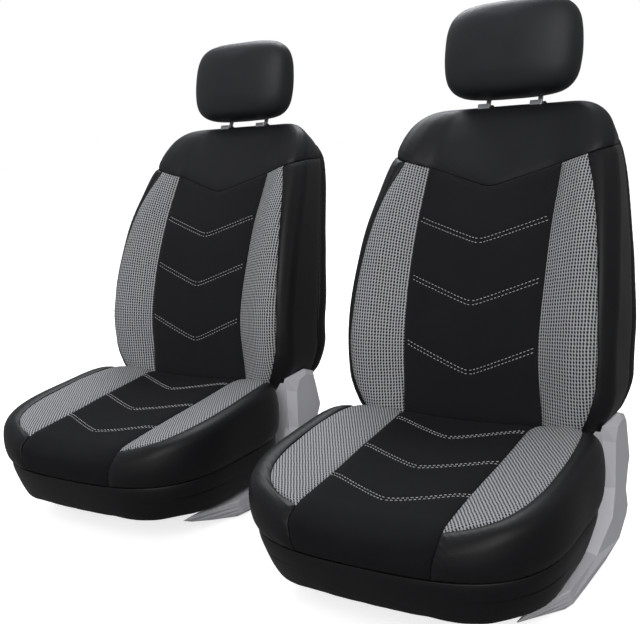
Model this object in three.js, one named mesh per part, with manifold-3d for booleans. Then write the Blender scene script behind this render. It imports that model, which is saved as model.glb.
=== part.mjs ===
// A pair of front vehicle seats dressed in a fitted seat cover set.
//
// Units are millimetres and +Z is up. A seat is built once, in its own frame, and placed twice:
// x runs across the seat, y runs to its rear, and the feet of its rails are at z = FLOOR_Z.
import * as THREE from 'three';
import { mergeVertices } from 'three/addons/utils/BufferGeometryUtils.js';
import Module from 'manifold-3d';

const wasm = await Module();
wasm.setup();

// ---------------------------------------------------------------- driving dimensions
const SEAT_SPACING = 736; // between the centre planes of the two seats
const SEAT_STAGGER = 84; // the left seat is slid this far back on its rails
const FRAME_SHIFT_Y = 4.8; // puts the origin midway along the set
const FLOOR_Z = 40; // height of the floor in the seat's frame

const GAP = 0.5; // between neighbouring pieces
const CLOTH = 3; // laminated cover cloth

const CUSHION_HALF_WIDTH = 281;
const CUSHION_CENTRE_Y = -170;
const CUSHION_FRONT = 231; // from the centre of the plan to the front
const CUSHION_REAR = 216; // from the centre of the plan to the rear
const CUSHION_TOP = 284; // height of the seat surface at y = 0
const CUSHION_RISE = 0.098; // rise of the seat surface to the rear
const BOLSTER_RISE = 23; // cushion bolsters above the seat surface
const BOLSTER_X = 235;
const LIP_START = -335; // where the seat surface starts to roll over
const LIP_ROLL = 300; // twice the radius of that roll
const SEAM_Z = 182; // lower seam of the cushion cover
const SKIRT_BOTTOM_Z = 96; // at the sides
const SKIRT_FRONT_RISE = 15; // of the hem across the front
const SKIRT_REAR_Y = 44;

const PIVOT = { y: 138, z: 247 }; // recliner axis
const TUBE_RADIUS = 12;

const BITE = { y: 50, z: 289 }; // where the backrest meets the cushion
const BOLSTER_DEPTH = 27; // backrest bolsters in front of the centre panel

const POST_LEAN = 24; // degrees
const HEADREST_TILT = -12; // of the headrest against its posts, degrees
const HEADREST = { width: 284, height: 186, depth: 112, y: 336, z: 869, ahead: 26 };
const POST_X = 55;
const POST_RADIUS = 5;
const POST_REACH = 140; // length of post below the headrest

const RAIL_X = 170;
const RAIL_HALF_WIDTH = 16;
const REAR_BAR = { front: 76, rear: 104, low: 84, high: 106 }; // cross member that carries the brackets
const BRACKET_X = [238.5, 244.5]; // inner and outer faces of the recliner brackets
const PAN = { halfWidth: 216, wall: 4, low: 112, spread: 0.82, topSpread: 0.92 };
const STRAP = { halfLength: 244, front: -190, rear: -165, low: 108, high: 110.5 };
const SHIELD_WAIST_Z = 206; // above this the left shield is lower than the right one
const INBOARD_CROWN = 0.6; // share of the right shield's crown
const SHIELD_WALL = 3;

// ---------------------------------------------------------------- solids and booleans
function manifoldOf(geometry) {
  const bare = geometry.clone();
  bare.deleteAttribute('normal');
  bare.deleteAttribute('uv');
  const merged = mergeVertices(bare, 1e-4);
  return new wasm.Manifold(new wasm.Mesh({
    numProp: 3,
    vertProperties: merged.attributes.position.array,
    triVerts: new Uint32Array(merged.index.array),
  }));
}

function geometryOf(manifold) {
  const mesh = manifold.getMesh();
  const geometry = new THREE.BufferGeometry();
  geometry.setAttribute('position', new THREE.BufferAttribute(mesh.vertProperties, 3));
  geometry.setIndex(new THREE.BufferAttribute(mesh.triVerts, 1));
  return geometry;
}

// A closed skin through rings of equal length, with a fan over each end ring.
function loft(rings) {
  const count = rings[0].length;
  const points = rings.flat();
  const index = [];
  for (let r = 0; r + 1 < rings.length; r++) {
    for (let i = 0; i < count; i++) {
      const a = r * count + i;
      const b = r * count + ((i + 1) % count);
      index.push(a, b, b + count, a, b + count, a + count);
    }
  }
  const last = (rings.length - 1) * count;
  const sumOf = (ring) => ring.reduce((sum, p) => sum.add(p), new THREE.Vector3());
  const middleOf = (ring) => sumOf(ring).divideScalar(count);
  const bottom = points.push(middleOf(rings[0])) - 1;
  const top = points.push(middleOf(rings[rings.length - 1])) - 1;
  for (let i = 0; i < count; i++) {
    const next = (i + 1) % count;
    index.push(next, i, bottom, last + i, last + next, top);
  }
  const geometry = new THREE.BufferGeometry().setFromPoints(points);
  geometry.setIndex(index);
  return geometry;
}

// A prism along z over a plan outline of [x, y] points.
function prismZ(outline, low, high) {
  const shape = new THREE.Shape(outline.map(([x, y]) => new THREE.Vector2(x, y)));
  const geometry = new THREE.ExtrudeGeometry(shape, { depth: high - low, bevelEnabled: false });
  geometry.translate(0, 0, low);
  return geometry;
}

// A prism along x over a side outline of [y, z] points.
function prismX(outline, low, high) {
  const geometry = prismZ(outline, low, high);
  const turn = new THREE.Matrix4().set(0, 0, 1, 0, 1, 0, 0, 0, 0, 1, 0, 0, 0, 0, 0, 1);
  geometry.applyMatrix4(turn);
  return geometry;
}

// A prism along y over an outline of [x, z] points.
function prismY(outline, low, high) {
  const geometry = prismZ(outline, 0, high - low);
  const turn = new THREE.Matrix4().set(1, 0, 0, 0, 0, 0, -1, high, 0, 1, 0, 0, 0, 0, 0, 1);
  geometry.applyMatrix4(turn);
  return geometry;
}

function box(x0, x1, y0, y1, z0, z1) {
  const geometry = new THREE.BoxGeometry(x1 - x0, y1 - y0, z1 - z0);
  geometry.translate((x0 + x1) / 2, (y0 + y1) / 2, (z0 + z1) / 2);
  return geometry;
}

function cylinderX(radius, x0, x1, y, z, sides = 16) {
  const geometry = new THREE.CylinderGeometry(radius, radius, x1 - x0, sides);
  geometry.rotateZ(Math.PI / 2);
  geometry.translate((x0 + x1) / 2, y, z);
  return geometry;
}

// Straight-line value of a column of a table sorted by its first column.
function tableValue(table, at, column = 1) {
  let i = 1;
  while (i + 1 < table.length && table[i][0] < at) i++;
  const [low, high] = [table[i - 1], table[i]];
  const part = THREE.MathUtils.clamp((at - low[0]) / (high[0] - low[0]), 0, 1);
  return THREE.MathUtils.lerp(low[column], high[column], part);
}

const mirrored = (outline) => outline.map(([x, y]) => [-x, y]).reverse();

// ---------------------------------------------------------------- cushion
const CUSHION_SIDES = 28;

function superellipse(turn, halfWidth, front, rear) {
  const c = Math.cos(turn);
  const s = Math.sin(turn);
  const power = s < 0 ? 3 : 5;
  const x = halfWidth * Math.sign(c) * Math.abs(c) ** (2 / power);
  const y = (s < 0 ? front : rear) * Math.sign(s) * Math.abs(s) ** (2 / power);
  return [x, CUSHION_CENTRE_Y + y];
}

// Height of the seat surface before the edge rolls over.
function cushionTop(x, y) {
  const roll = Math.max(0, LIP_START - y) ** 2 / LIP_ROLL;
  const fade = THREE.MathUtils.smoothstep(y, LIP_START - 95, LIP_START - 5);
  return CUSHION_TOP + CUSHION_RISE * y - roll + BOLSTER_RISE * fade * (x / BOLSTER_X) ** 2;
}

// A ring of the cushion: spread is its size, share its height between the lower seam and the surface.
function cushionRing(spread, share, inset) {
  return planRing(spread, inset, (x, y) => SEAM_Z + (cushionTop(x, y) - inset - SEAM_Z) * share);
}

function levelRing(spread, inset, level) {
  return planRing(spread, inset, () => level);
}

function planRing(spread, inset, heightAt) {
  const ring = [];
  for (let i = 0; i < CUSHION_SIDES; i++) {
    const turn = (2 * Math.PI * i) / CUSHION_SIDES;
    const [x, y] = superellipse(
      turn,
      CUSHION_HALF_WIDTH * spread - inset,
      CUSHION_FRONT * spread - inset,
      CUSHION_REAR * spread - inset,
    );
    ring.push(new THREE.Vector3(x, y, heightAt(x, y)));
  }
  return ring;
}

function cushionSolid(inset, bottom) {
  const profile = [[0.985, 0.25], [1, 0.5], [0.99, 0.74], [0.96, 0.9], [0.9, 0.98], [0.62, 1]];
  return loft([
    levelRing(0.95, inset, bottom),
    ...profile.map(([spread, share]) => cushionRing(spread, share, inset)),
  ]);
}

// Plan lines of the cushion cover seams, right half, rear to front.
const MESH_INNER = [[139, 70], [131, -3], [130, -129], [127, -247], [129, -361]];
const MESH_OUTER = [
  [212, 70], [229, 12], [239, -60], [243, -127], [241, -200], [232, -262], [211, -312], [176, -344],
];
const LIP_SEAM = [[118, -440]];
const OUTSIDE = [[118, -460], [320, -460], [320, 70]];

const shiftX = (line, by) => line.map(([x, y]) => [x + by, y]);

function cushionPanels() {
  const shell = manifoldOf(cushionSolid(0, SEAM_Z)).subtract(manifoldOf(cushionSolid(CLOTH, SEAM_Z - 12)));
  const cut = (outline) => geometryOf(shell.intersect(manifoldOf(prismZ(outline, 100, 400))));
  const half = GAP / 2;
  const innerLine = [...MESH_INNER, ...LIP_SEAM];
  const centre = shiftX(innerLine, -half);
  const tip = MESH_INNER[MESH_INNER.length - 1];
  const mesh = [
    ...shiftX(MESH_INNER.slice(0, -1), half), [tip[0] + half, tip[1] + 2],
    ...shiftX(MESH_OUTER, -half).reverse(),
  ];
  const bolster = [
    ...shiftX(MESH_OUTER, half), [tip[0] + half, tip[1] - 2],
    ...shiftX(LIP_SEAM, half), ...OUTSIDE,
  ];
  return {
    centre: cut([...centre, ...mirrored(centre)]),
    meshes: [cut(mesh), cut(mirrored(mesh))],
    bolsters: [cut(bolster), cut(mirrored(bolster))],
  };
}

function skirt() {
  const rise = (x) => SKIRT_FRONT_RISE * (1 - THREE.MathUtils.smoothstep(Math.abs(x), 90, 210));
  const wall = (inset, bottom, top) => loft([
    planRing(0.885, inset, (x) => bottom + rise(x)),
    levelRing(0.965, inset, top),
  ]);
  const outer = manifoldOf(wall(0, SKIRT_BOTTOM_Z, SEAM_Z - GAP));
  const inner = manifoldOf(wall(CLOTH, SKIRT_BOTTOM_Z - 1, SEAM_Z + 1));
  const rear = prismX([
    [SKIRT_REAR_Y, 200],
    [SKIRT_REAR_Y, 168],
    [SKIRT_REAR_Y - 18, 138],
    [SKIRT_REAR_Y - 70, 90],
    [SKIRT_REAR_Y + 80, 90],
    [SKIRT_REAR_Y + 80, 200],
  ], -320, 320);
  return geometryOf(outer.subtract(inner).subtract(manifoldOf(rear)));
}

// ---------------------------------------------------------------- seat structure
function seatPan() {
  const { halfWidth, wall, low, spread: foot, topSpread } = PAN;
  const top = SEAM_Z - 1;
  const ring = (spread, level, inset) => levelRing(spread, inset, level).map((p) => new THREE.Vector3(
    THREE.MathUtils.clamp(p.x, inset - halfWidth, halfWidth - inset),
    Math.min(p.y, SKIRT_REAR_Y - 2 - inset),
    p.z,
  ));
  const tray = manifoldOf(loft([ring(foot, low, 0), ring(topSpread, top, 0)]));
  const hollow = manifoldOf(loft([ring(foot, low - 6, wall), ring(topSpread - 0.01, top - wall, wall)]));
  return geometryOf(tray.subtract(hollow));
}

// Two floor rails with risers, joined by cross members. The rear one reaches out to the brackets.
function baseFrame() {
  const outline = [
    [-120, FLOOR_Z], [140, FLOOR_Z], [140, FLOOR_Z + 20], [118, FLOOR_Z + 26], [112, 108], [66, 108],
    [56, FLOOR_Z + 28], [-44, FLOOR_Z + 28], [-52, 108], [-98, 108],
    [-112, FLOOR_Z + 24], [-120, FLOOR_Z + 18],
  ];
  const bar = REAR_BAR;
  const reach = BRACKET_X[0] + 3;
  const bars = [
    prismX(outline, -RAIL_X - RAIL_HALF_WIDTH, -RAIL_X + RAIL_HALF_WIDTH),
    prismX(outline, RAIL_X - RAIL_HALF_WIDTH, RAIL_X + RAIL_HALF_WIDTH),
    box(-RAIL_X, RAIL_X, -92, -60, bar.low, bar.high),
    box(-reach, reach, bar.front, bar.rear, bar.low, bar.high),
  ];
  return geometryOf(bars.map(manifoldOf).reduce((all, piece) => all.add(piece)));
}

function reclinerBracket(side) {
  const { y, z } = PIVOT;
  const outline = [
    [64, 78], [118, 78], [146, 130], [y + 22, z - 24], [y + 17, z + 6], [y + 9, z + 16],
    [y - 9, z + 16], [y - 17, z + 6], [y - 22, z - 24], [62, 130],
  ];
  const [inner, outer] = BRACKET_X;
  const plate = manifoldOf(prismX(outline, inner, outer));
  const bore = manifoldOf(cylinderX(TUBE_RADIUS + GAP, inner - 1, outer + 1, y, z));
  const bar = REAR_BAR;
  const slot = manifoldOf(box(
    inner - 1, inner + 3 + GAP, bar.front - GAP, bar.rear + GAP, bar.low - GAP, bar.high + GAP));
  const made = geometryOf(plate.subtract(bore).subtract(slot));
  return side > 0 ? made : flipped(made);
}

// The same piece on the other side of the centre plane.
function flipped(geometry) {
  const copy = geometry.clone();
  copy.scale(-1, 1, 1);
  const index = copy.index.array;
  for (let i = 0; i < index.length; i += 3) {
    [index[i + 1], index[i + 2]] = [index[i + 2], index[i + 1]];
  }
  return copy;
}

// Outer face of the shield across the seat: it toes in below the skirt towards the front.
function shieldFaceX(y) {
  return tableValue([[-300, 238], [-170, 253], [0, 257], [44, 268], [300, 270]], y);
}

// Part of the shield that turns in behind the cushion and closes the gap there, in x and z.
const SHIELD_RETURN = [[194, 104], [250, 104], [250, 284], [237, 284], [222, 262], [214, 256], [194, 240]];
const SHIELD_RETURN_Y = [50, 54];

// Moulded side shield: a toed-in plate with a broad bevel towards the cushion, a facet that turns
// under at its front end, two bosses, and a return behind the cushion.
function sideShield(side) {
  const crown = side > 0 ? 1 : INBOARD_CROWN;
  // Rim: y, z and how far it lies inboard of the outer face.
  const rim = [
    [51, 296, 15], [116, 303, 7], [150, 290, 7], [171, 206, 7], [159, 186, 7], [145, 150, 7], [157, 112, 7],
    [141, 91, 7], [90, 63, 7], [22, 49, 7], [-80, 42, 7], [-150, 45, 12], [-206, 56, 30], [-258, 72, 34],
    [-286, 86, 26], [-262, 91, 20], [-100, 91, 18], [-24, 91, 18], [34, 142, 22], [50, 182, 24], [50, 268, 24],
  ];
  const face = [
    [84, 286], [112, 292], [140, 282], [160, 205], [148, 186], [134, 150], [145, 114], [134, 99],
    [86, 73], [20, 59], [-78, 52], [-142, 54], [-148, 63], [-153, 73], [-157, 82],
    [-149, 84], [-104, 82], [-16, 82], [44, 130], [64, 178], [70, 262],
  ];
  const lowered = (z) => SHIELD_WAIST_Z + (z - SHIELD_WAIST_Z) * (z > SHIELD_WAIST_Z ? crown : 1);
  const rimRing = (depth) => rim.map(
    ([y, z, inboard]) => new THREE.Vector3(shieldFaceX(y) - inboard - depth, y, lowered(z)));
  const faceRing = face.map(([y, z]) => new THREE.Vector3(shieldFaceX(y), y, lowered(z)));
  const plate = manifoldOf(closedByCaps(
    [rimRing(SHIELD_WALL).reverse(), rimRing(0).reverse(), faceRing.reverse()],
    rim.slice().reverse(),
    face.slice().reverse(),
  ));
  const added = [
    box(216.5, 248, -60, -34, 62, 80),
    box(BRACKET_X[1] + GAP, 264, 96, 120, 150, 172),
    prismY(SHIELD_RETURN.map(([x, z]) => [x, lowered(z)]), ...SHIELD_RETURN_Y),
  ];
  const made = geometryOf(added.map(manifoldOf).reduce((all, piece) => all.add(piece), plate));
  return side > 0 ? made : flipped(made);
}

// Rings joined by walls, with each end filled by a triangulated outline instead of a fan.
function closedByCaps(rings, firstOutline, lastOutline) {
  const count = rings[0].length;
  const index = [];
  for (let r = 0; r + 1 < rings.length; r++) {
    for (let i = 0; i < count; i++) {
      const a = r * count + i;
      const b = r * count + ((i + 1) % count);
      index.push(a, b, b + count, a, b + count, a + count);
    }
  }
  const flat = (outline) => outline.map(([u, v]) => new THREE.Vector2(u, v));
  const cap = (outline) => THREE.ShapeUtils.triangulateShape(flat(outline), []);
  const last = (rings.length - 1) * count;
  for (const [a, b, c] of cap(firstOutline)) {
    index.push(c, b, a);
  }
  for (const [a, b, c] of cap(lastOutline)) {
    index.push(last + a, last + b, last + c);
  }
  const geometry = new THREE.BufferGeometry().setFromPoints(rings.flat());
  geometry.setIndex(index);
  return geometry;
}

// Elastic strap that passes under the pan and pulls the two sides of the skirt together.
function underStrap() {
  const { halfLength, front, rear, low, high } = STRAP;
  return box(-halfLength, halfLength, front, rear, low, high);
}

// ---------------------------------------------------------------- backrest
// Lean of the front surface, in degrees, along its length from the bite upwards.
const LEAN = [[-60, 0], [85, 0], [175, 17], [300, 25], [400, 33], [420, 34], [700, 34]];

// Point of the front centre line, with its direction upwards and to the rear.
function spine(length) {
  const step = 5;
  let y = BITE.y;
  let z = BITE.z;
  for (let s = 0; s < length; s += step) {
    const lean = THREE.MathUtils.degToRad(tableValue(LEAN, s + step / 2));
    const part = Math.min(step, length - s);
    y += Math.sin(lean) * part;
    z += Math.cos(lean) * part;
  }
  const lean = THREE.MathUtils.degToRad(tableValue(LEAN, length));
  if (length < 0) z += length;
  return { y, z, lean };
}

// Place of a point x across, depth behind the front centre line, at a length along it.
function onBackrest(x, depth, length) {
  const { y, z, lean } = spine(length);
  return new THREE.Vector3(x, y + depth * Math.cos(lean), z - depth * Math.sin(lean));
}

// Sizes along the backrest: length, half width, thickness, setback of the front, bolster height.
const STATIONS = [
  [-52, 165, 84, 42, 0],
  [-42, 200, 132, 21, 6],
  [-20, 228, 162, 7, 16],
  [4, 247, 175, 1, 22],
  [70, 266, 182, 0, BOLSTER_DEPTH],
  [190, 267, 180, 0, BOLSTER_DEPTH],
  [330, 259, 162, 0, BOLSTER_DEPTH],
  [456, 243, 138, 0, 22],
  [549, 224, 122, 0, 14],
  [598, 207, 110, 3, 8],
  [628, 181, 92, 10, 3],
  [645, 148, 66, 22, 0],
  [652, 110, 38, 35, 0],
];

// Half section, front centre to rear centre: share of half width, share of thickness behind the
// front, share of bolster height in front of it.
const SECTION = [
  [0, 0, 0], [0.5, 0, 0.04], [0.64, 0, 0.5], [0.76, 0, 0.95], [0.84, 0, 1],
  [0.91, 0, 0.75], [0.965, 0, 0.2], [1, 0.12, 0], [1, 0.78, 0], [0.975, 0.91, 0],
  [0.88, 0.99, 0], [0, 1, 0],
];

function backrestRing([length, halfWidth, thickness, setback, bolster], inset) {
  const half = SECTION.map(([across, behind, before]) => onBackrest(
    across * (halfWidth - inset),
    setback + inset + behind * (thickness - 2 * inset) - before * bolster,
    length,
  ));
  const other = half.slice(1, -1).map((p) => new THREE.Vector3(-p.x, p.y, p.z));
  return [...half, ...other.reverse()];
}

function backrestSolid(inset) {
  const rows = STATIONS.map((row, i) => {
    const shift = i === 0 ? inset : i === STATIONS.length - 1 ? -inset : 0;
    return backrestRing([row[0] + shift, ...row.slice(1)], inset);
  });
  return loft(rows);
}

// Front seams of the backrest cover in x and z, right half, top to bottom.
const YOKE_SEAM = [[0, 712], [135, 750], [187, 765], [300, 772]];
const BACK_MESH_INNER = [[135, 750], [136, 548], [134, 427], [139, 289], [140, 180]];
const BACK_MESH_OUTER = [
  [187, 765], [213, 700], [228, 640], [239, 560], [246, 480],
  [249, 425], [246, 370], [233, 320], [218, 283], [205, 180],
];
const REAR_SEAM = 0.72; // seam between the side gussets and the rear panel, as a share of the thickness
const COVER_HEM_Z = 262; // open lower end of the backrest cover

function backrestPanels() {
  const closed = manifoldOf(backrestSolid(0)).subtract(manifoldOf(backrestSolid(CLOTH)));
  const shell = closed.subtract(manifoldOf(box(-300, 300, -50, 400, 100, COVER_HEM_Z)));
  const behind = manifoldOf(rearRegion(0));
  const half = GAP / 2;
  const front = shell.subtract(manifoldOf(rearRegion(-GAP)));
  const cut = (outline) => geometryOf(front.intersect(manifoldOf(prismY(outline, -200, 600))));
  const below = (line, by) => line.map(([x, z]) => [x, z - by]);
  const yoke = [...below(YOKE_SEAM, -half), [300, 1000]];
  const [middle, inner, outer, flank] = below(YOKE_SEAM, half);
  const centre = [middle, [inner[0] - half, inner[1]], ...shiftX(BACK_MESH_INNER.slice(1), -half)];
  const mesh = [
    [inner[0] + half, inner[1]], ...shiftX(BACK_MESH_INNER.slice(1), half),
    ...shiftX(BACK_MESH_OUTER.slice(1), -half).reverse(), [outer[0] - half, outer[1] - 1],
  ];
  const gusset = [
    [outer[0] + half, outer[1] - 1], ...shiftX(BACK_MESH_OUTER.slice(1), half),
    [flank[0], 180], [flank[0], flank[1] - 1],
  ];
  return {
    yoke: cut([...yoke, ...mirrored(yoke)]),
    centre: cut([...centre, ...mirrored(centre)]),
    meshes: [cut(mesh), cut(mirrored(mesh))],
    gussets: [cut(gusset), cut(mirrored(gusset))],
    rear: geometryOf(shell.intersect(behind)),
  };
}

// Everything of the backrest behind its rear seam.
function rearRegion(shift) {
  const lengths = [-90, 0, 85, 175, 300, 400, 560, 720];
  const line = lengths.map((s) => {
    const p = onBackrest(0, REAR_SEAM * tableValue(STATIONS, Math.min(s, 549), 2) + shift, s);
    return [p.y, p.z];
  });
  return prismX([...line, [900, 700], [900, 120]].reverse(), -330, 330);
}

function backrestFoam() {
  const cut = [
    cylinderX(TUBE_RADIUS + GAP, -300, 300, PIVOT.y, PIVOT.z),
    ...[-1, 1].map((side) => postRod(side, POST_RADIUS + 1.5, -POST_REACH - 90, 40)),
  ];
  const block = manifoldOf(backrestSolid(CLOTH + GAP));
  return geometryOf(cut.map(manifoldOf).reduce((left, tool) => left.subtract(tool), block));
}

// ---------------------------------------------------------------- headrest
const postLean = THREE.MathUtils.degToRad(POST_LEAN);

// Moves a geometry from post axes (z along the posts, origin at the headrest's foot) to the seat.
function onHeadrest(geometry) {
  geometry.rotateX(-postLean);
  geometry.translate(0, HEADREST.y, HEADREST.z);
  return geometry;
}

function headrestSolid(inset) {
  // Height share, half-width share and half-depth share of each ring.
  const rows = [
    [0, 0.6, 0.5], [0.05, 0.83, 0.82], [0.18, 0.95, 0.98], [0.5, 1, 1],
    [0.84, 0.95, 0.86], [1, 0.66, 0.4],
  ];
  const sides = 18;
  const rings = rows.map(([share, wide, deep], k) => {
    const z = share * HEADREST.height + (k === 0 ? inset : k === rows.length - 1 ? -inset : 0);
    const ring = [];
    for (let i = 0; i < sides; i++) {
      const turn = (2 * Math.PI * i) / sides;
      const c = Math.cos(turn);
      const s = Math.sin(turn);
      ring.push(new THREE.Vector3(
        ((HEADREST.width / 2) * wide - inset) * Math.sign(c) * Math.abs(c) ** 0.62,
        ((HEADREST.depth / 2) * deep - inset) * Math.sign(s) * Math.abs(s) ** 0.72,
        z,
      ));
    }
    return ring;
  });
  const tilted = loft(rings).rotateX(-THREE.MathUtils.degToRad(HEADREST_TILT));
  return onHeadrest(tilted.translate(0, -HEADREST.ahead, 0));
}

function postRod(side, radius, low, high) {
  const rod = new THREE.CylinderGeometry(radius, radius, high - low, 12);
  rod.rotateX(Math.PI / 2);
  rod.translate(side * POST_X, 0, (high + low) / 2);
  return onHeadrest(rod);
}

// Two posts joined by a bar inside the headrest, in one bent rod.
function headrestPosts() {
  const top = 96;
  const bend = 22;
  const bendSteps = 4;
  const stations = [[-POST_X, -POST_REACH, 0]];
  for (let i = 0; i <= bendSteps; i++) {
    const turn = ((Math.PI / 2) * i) / bendSteps;
    stations.push([-POST_X + bend * (1 - Math.cos(turn)), top - bend * (1 - Math.sin(turn)), turn]);
  }
  for (let i = bendSteps; i >= 0; i--) {
    const turn = ((Math.PI / 2) * i) / bendSteps;
    stations.push([POST_X - bend * (1 - Math.cos(turn)), top - bend * (1 - Math.sin(turn)), Math.PI - turn]);
  }
  stations.push([POST_X, -POST_REACH, Math.PI]);
  const sides = 10;
  const rings = stations.map(([x, z, turn]) => {
    const ring = [];
    for (let i = 0; i < sides; i++) {
      const angle = (2 * Math.PI * i) / sides;
      const out = POST_RADIUS * Math.cos(angle);
      const behind = POST_RADIUS * Math.sin(angle);
      ring.push(new THREE.Vector3(x + out * Math.cos(turn), behind, z - out * Math.sin(turn)));
    }
    return ring;
  });
  return onHeadrest(loft(rings));
}

// The channel that the posts and their bar lie in, open at the headrest's foot.
function postChannel() {
  const wide = POST_X + POST_RADIUS + 1;
  const deep = POST_RADIUS + 1;
  return onHeadrest(box(-wide, wide, -deep, deep, -20, 103));
}

function headrestCore() {
  return geometryOf(manifoldOf(headrestSolid(CLOTH + GAP)).subtract(manifoldOf(postChannel())));
}

function headrestCover() {
  const shell = manifoldOf(headrestSolid(0)).subtract(manifoldOf(headrestSolid(CLOTH)));
  return geometryOf(shell.subtract(manifoldOf(postChannel())));
}

// ---------------------------------------------------------------- post guides
const COLLAR = { halfWidth: 16, front: -13, rear: 13, low: -24.5, high: -10.5 };
const SLEEVE = { halfWidth: 9, depth: 125 };
const BUTTON = { halfWidth: 12.5, front: -25, rear: -11.5, inset: 1.5 };

function guideCollar(side) {
  const x = side * POST_X;
  const { halfWidth, front, rear, low, high } = COLLAR;
  const { halfWidth: narrow, depth } = SLEEVE;
  const block = box(x - halfWidth, x + halfWidth, front, rear, low, high);
  const sleeve = box(x - narrow, x + narrow, -narrow, narrow, -depth, low + 1);
  const bore = new THREE.CylinderGeometry(POST_RADIUS + 0.6, POST_RADIUS + 0.6, 140, 14);
  bore.rotateX(Math.PI / 2);
  bore.translate(x, 0, -70);
  const room = BUTTON.halfWidth + 1;
  const pocket = box(x - room, x + room, front - 1, BUTTON.rear + 4, low + 1, high - 1);
  const body = manifoldOf(block).add(manifoldOf(sleeve));
  return onHeadrest(geometryOf(body.subtract(manifoldOf(bore)).subtract(manifoldOf(pocket))));
}

function lockButton(side) {
  const x = side * POST_X;
  const { halfWidth, front, rear, inset } = BUTTON;
  return onHeadrest(box(x - halfWidth, x + halfWidth, front, rear, COLLAR.low + inset, COLLAR.high - inset));
}

// Room for both guides in the foam and the yoke panel.
function guideRoom() {
  return [-1, 1].map((side) => {
    const x = side * POST_X;
    const wide = COLLAR.halfWidth + GAP;
    const narrow = SLEEVE.halfWidth + GAP;
    return [
      box(x - wide, x + wide, BUTTON.front - 3, COLLAR.rear + GAP, COLLAR.low - GAP, 40),
      box(x - narrow, x + narrow, -narrow, narrow, -SLEEVE.depth - 1, 0),
    ];
  }).flat().map((room) => manifoldOf(onHeadrest(room))).reduce((all, room) => all.add(room));
}

// ---------------------------------------------------------------- one seat
const finishes = {
  cover: { color: 0x24262a, roughness: 0.62 },
  coverMatte: { color: 0x1b1c1f, roughness: 0.9 },
  mesh: { color: 0x6f7276, roughness: 0.85 },
  pad: { color: 0x3e3e42, roughness: 0.95 },
  shield: { color: 0xa9abad, roughness: 0.5 },
  steel: { color: 0x3c3e41, roughness: 0.5, metalness: 0.7 },
  chrome: { color: 0xd8dadc, roughness: 0.15, metalness: 1 },
  silver: { color: 0xb9bbbe, roughness: 0.35, metalness: 0.6 },
  collar: { color: 0x18191b, roughness: 0.5 },
  elastic: { color: 0x202124, roughness: 0.9 },
};

function makeSeat(prefix) {
  const seat = new THREE.Group();
  const add = (name, geometry, finish) => {
    const mesh = new THREE.Mesh(geometry, new THREE.MeshStandardMaterial(finishes[finish]));
    mesh.name = `${prefix}_${name}`;
    seat.add(mesh);
  };
  const sides = [['right', 1], ['left', -1]];
  const without = (geometry, tool) => geometryOf(manifoldOf(geometry).subtract(tool));

  add('base_frame', baseFrame(), 'steel');
  add('seat_pan', seatPan(), 'steel');
  const tubeEnd = BRACKET_X[1] + 1;
  add('recliner_tube', cylinderX(TUBE_RADIUS, -tubeEnd, tubeEnd, PIVOT.y, PIVOT.z), 'steel');
  add('under_strap', underStrap(), 'elastic');
  for (const [name, side] of sides) {
    add(`recliner_bracket_${name}`, reclinerBracket(side), 'steel');
    add(`side_shield_${name}`, sideShield(side), 'shield');
  }

  add('cushion_foam', cushionSolid(CLOTH + GAP, SEAM_Z + 1), 'pad');
  const cushion = cushionPanels();
  add('cushion_centre_panel', cushion.centre, 'coverMatte');
  add('cushion_skirt', skirt(), 'cover');

  const room = guideRoom();
  const backrest = backrestPanels();
  add('backrest_foam', without(backrestFoam(), room), 'pad');
  add('backrest_yoke_panel', without(backrest.yoke, room), 'cover');
  add('backrest_centre_panel', backrest.centre, 'coverMatte');
  add('backrest_rear_panel', without(backrest.rear, room), 'cover');
  sides.forEach(([name, side], i) => {
    add(`cushion_mesh_panel_${name}`, cushion.meshes[i], 'mesh');
    add(`cushion_bolster_${name}`, cushion.bolsters[i], 'cover');
    add(`backrest_mesh_panel_${name}`, backrest.meshes[i], 'mesh');
    add(`backrest_gusset_${name}`, backrest.gussets[i], 'cover');
    add(`guide_collar_${name}`, guideCollar(side), 'collar');
    add(`lock_button_${name}`, lockButton(side), 'silver');
  });

  add('headrest_posts', headrestPosts(), 'chrome');
  add('headrest_core', headrestCore(), 'pad');
  add('headrest_cover', headrestCover(), 'cover');
  return seat;
}

// ---------------------------------------------------------------- the set
const group = new THREE.Group();
const rightSeat = makeSeat('right');
rightSeat.position.set(SEAT_SPACING / 2, -SEAT_STAGGER / 2 + FRAME_SHIFT_Y, -FLOOR_Z);
const leftSeat = makeSeat('left');
leftSeat.position.set(-SEAT_SPACING / 2, SEAT_STAGGER / 2 + FRAME_SHIFT_Y, -FLOOR_Z);
group.add(rightSeat, leftSeat);

export default group;
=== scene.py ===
"""The looks of a seat cover set: covers, stitching, trim and studio around a packed pair of seats.

Shapes are worked out in millimetres in a seat's own frame: x across, y to the rear, z up.
place() turns them into metres in the frame of the set.
"""
import math
import bmesh
import bpy
import numpy as np
from mathutils import Matrix, Vector


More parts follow.
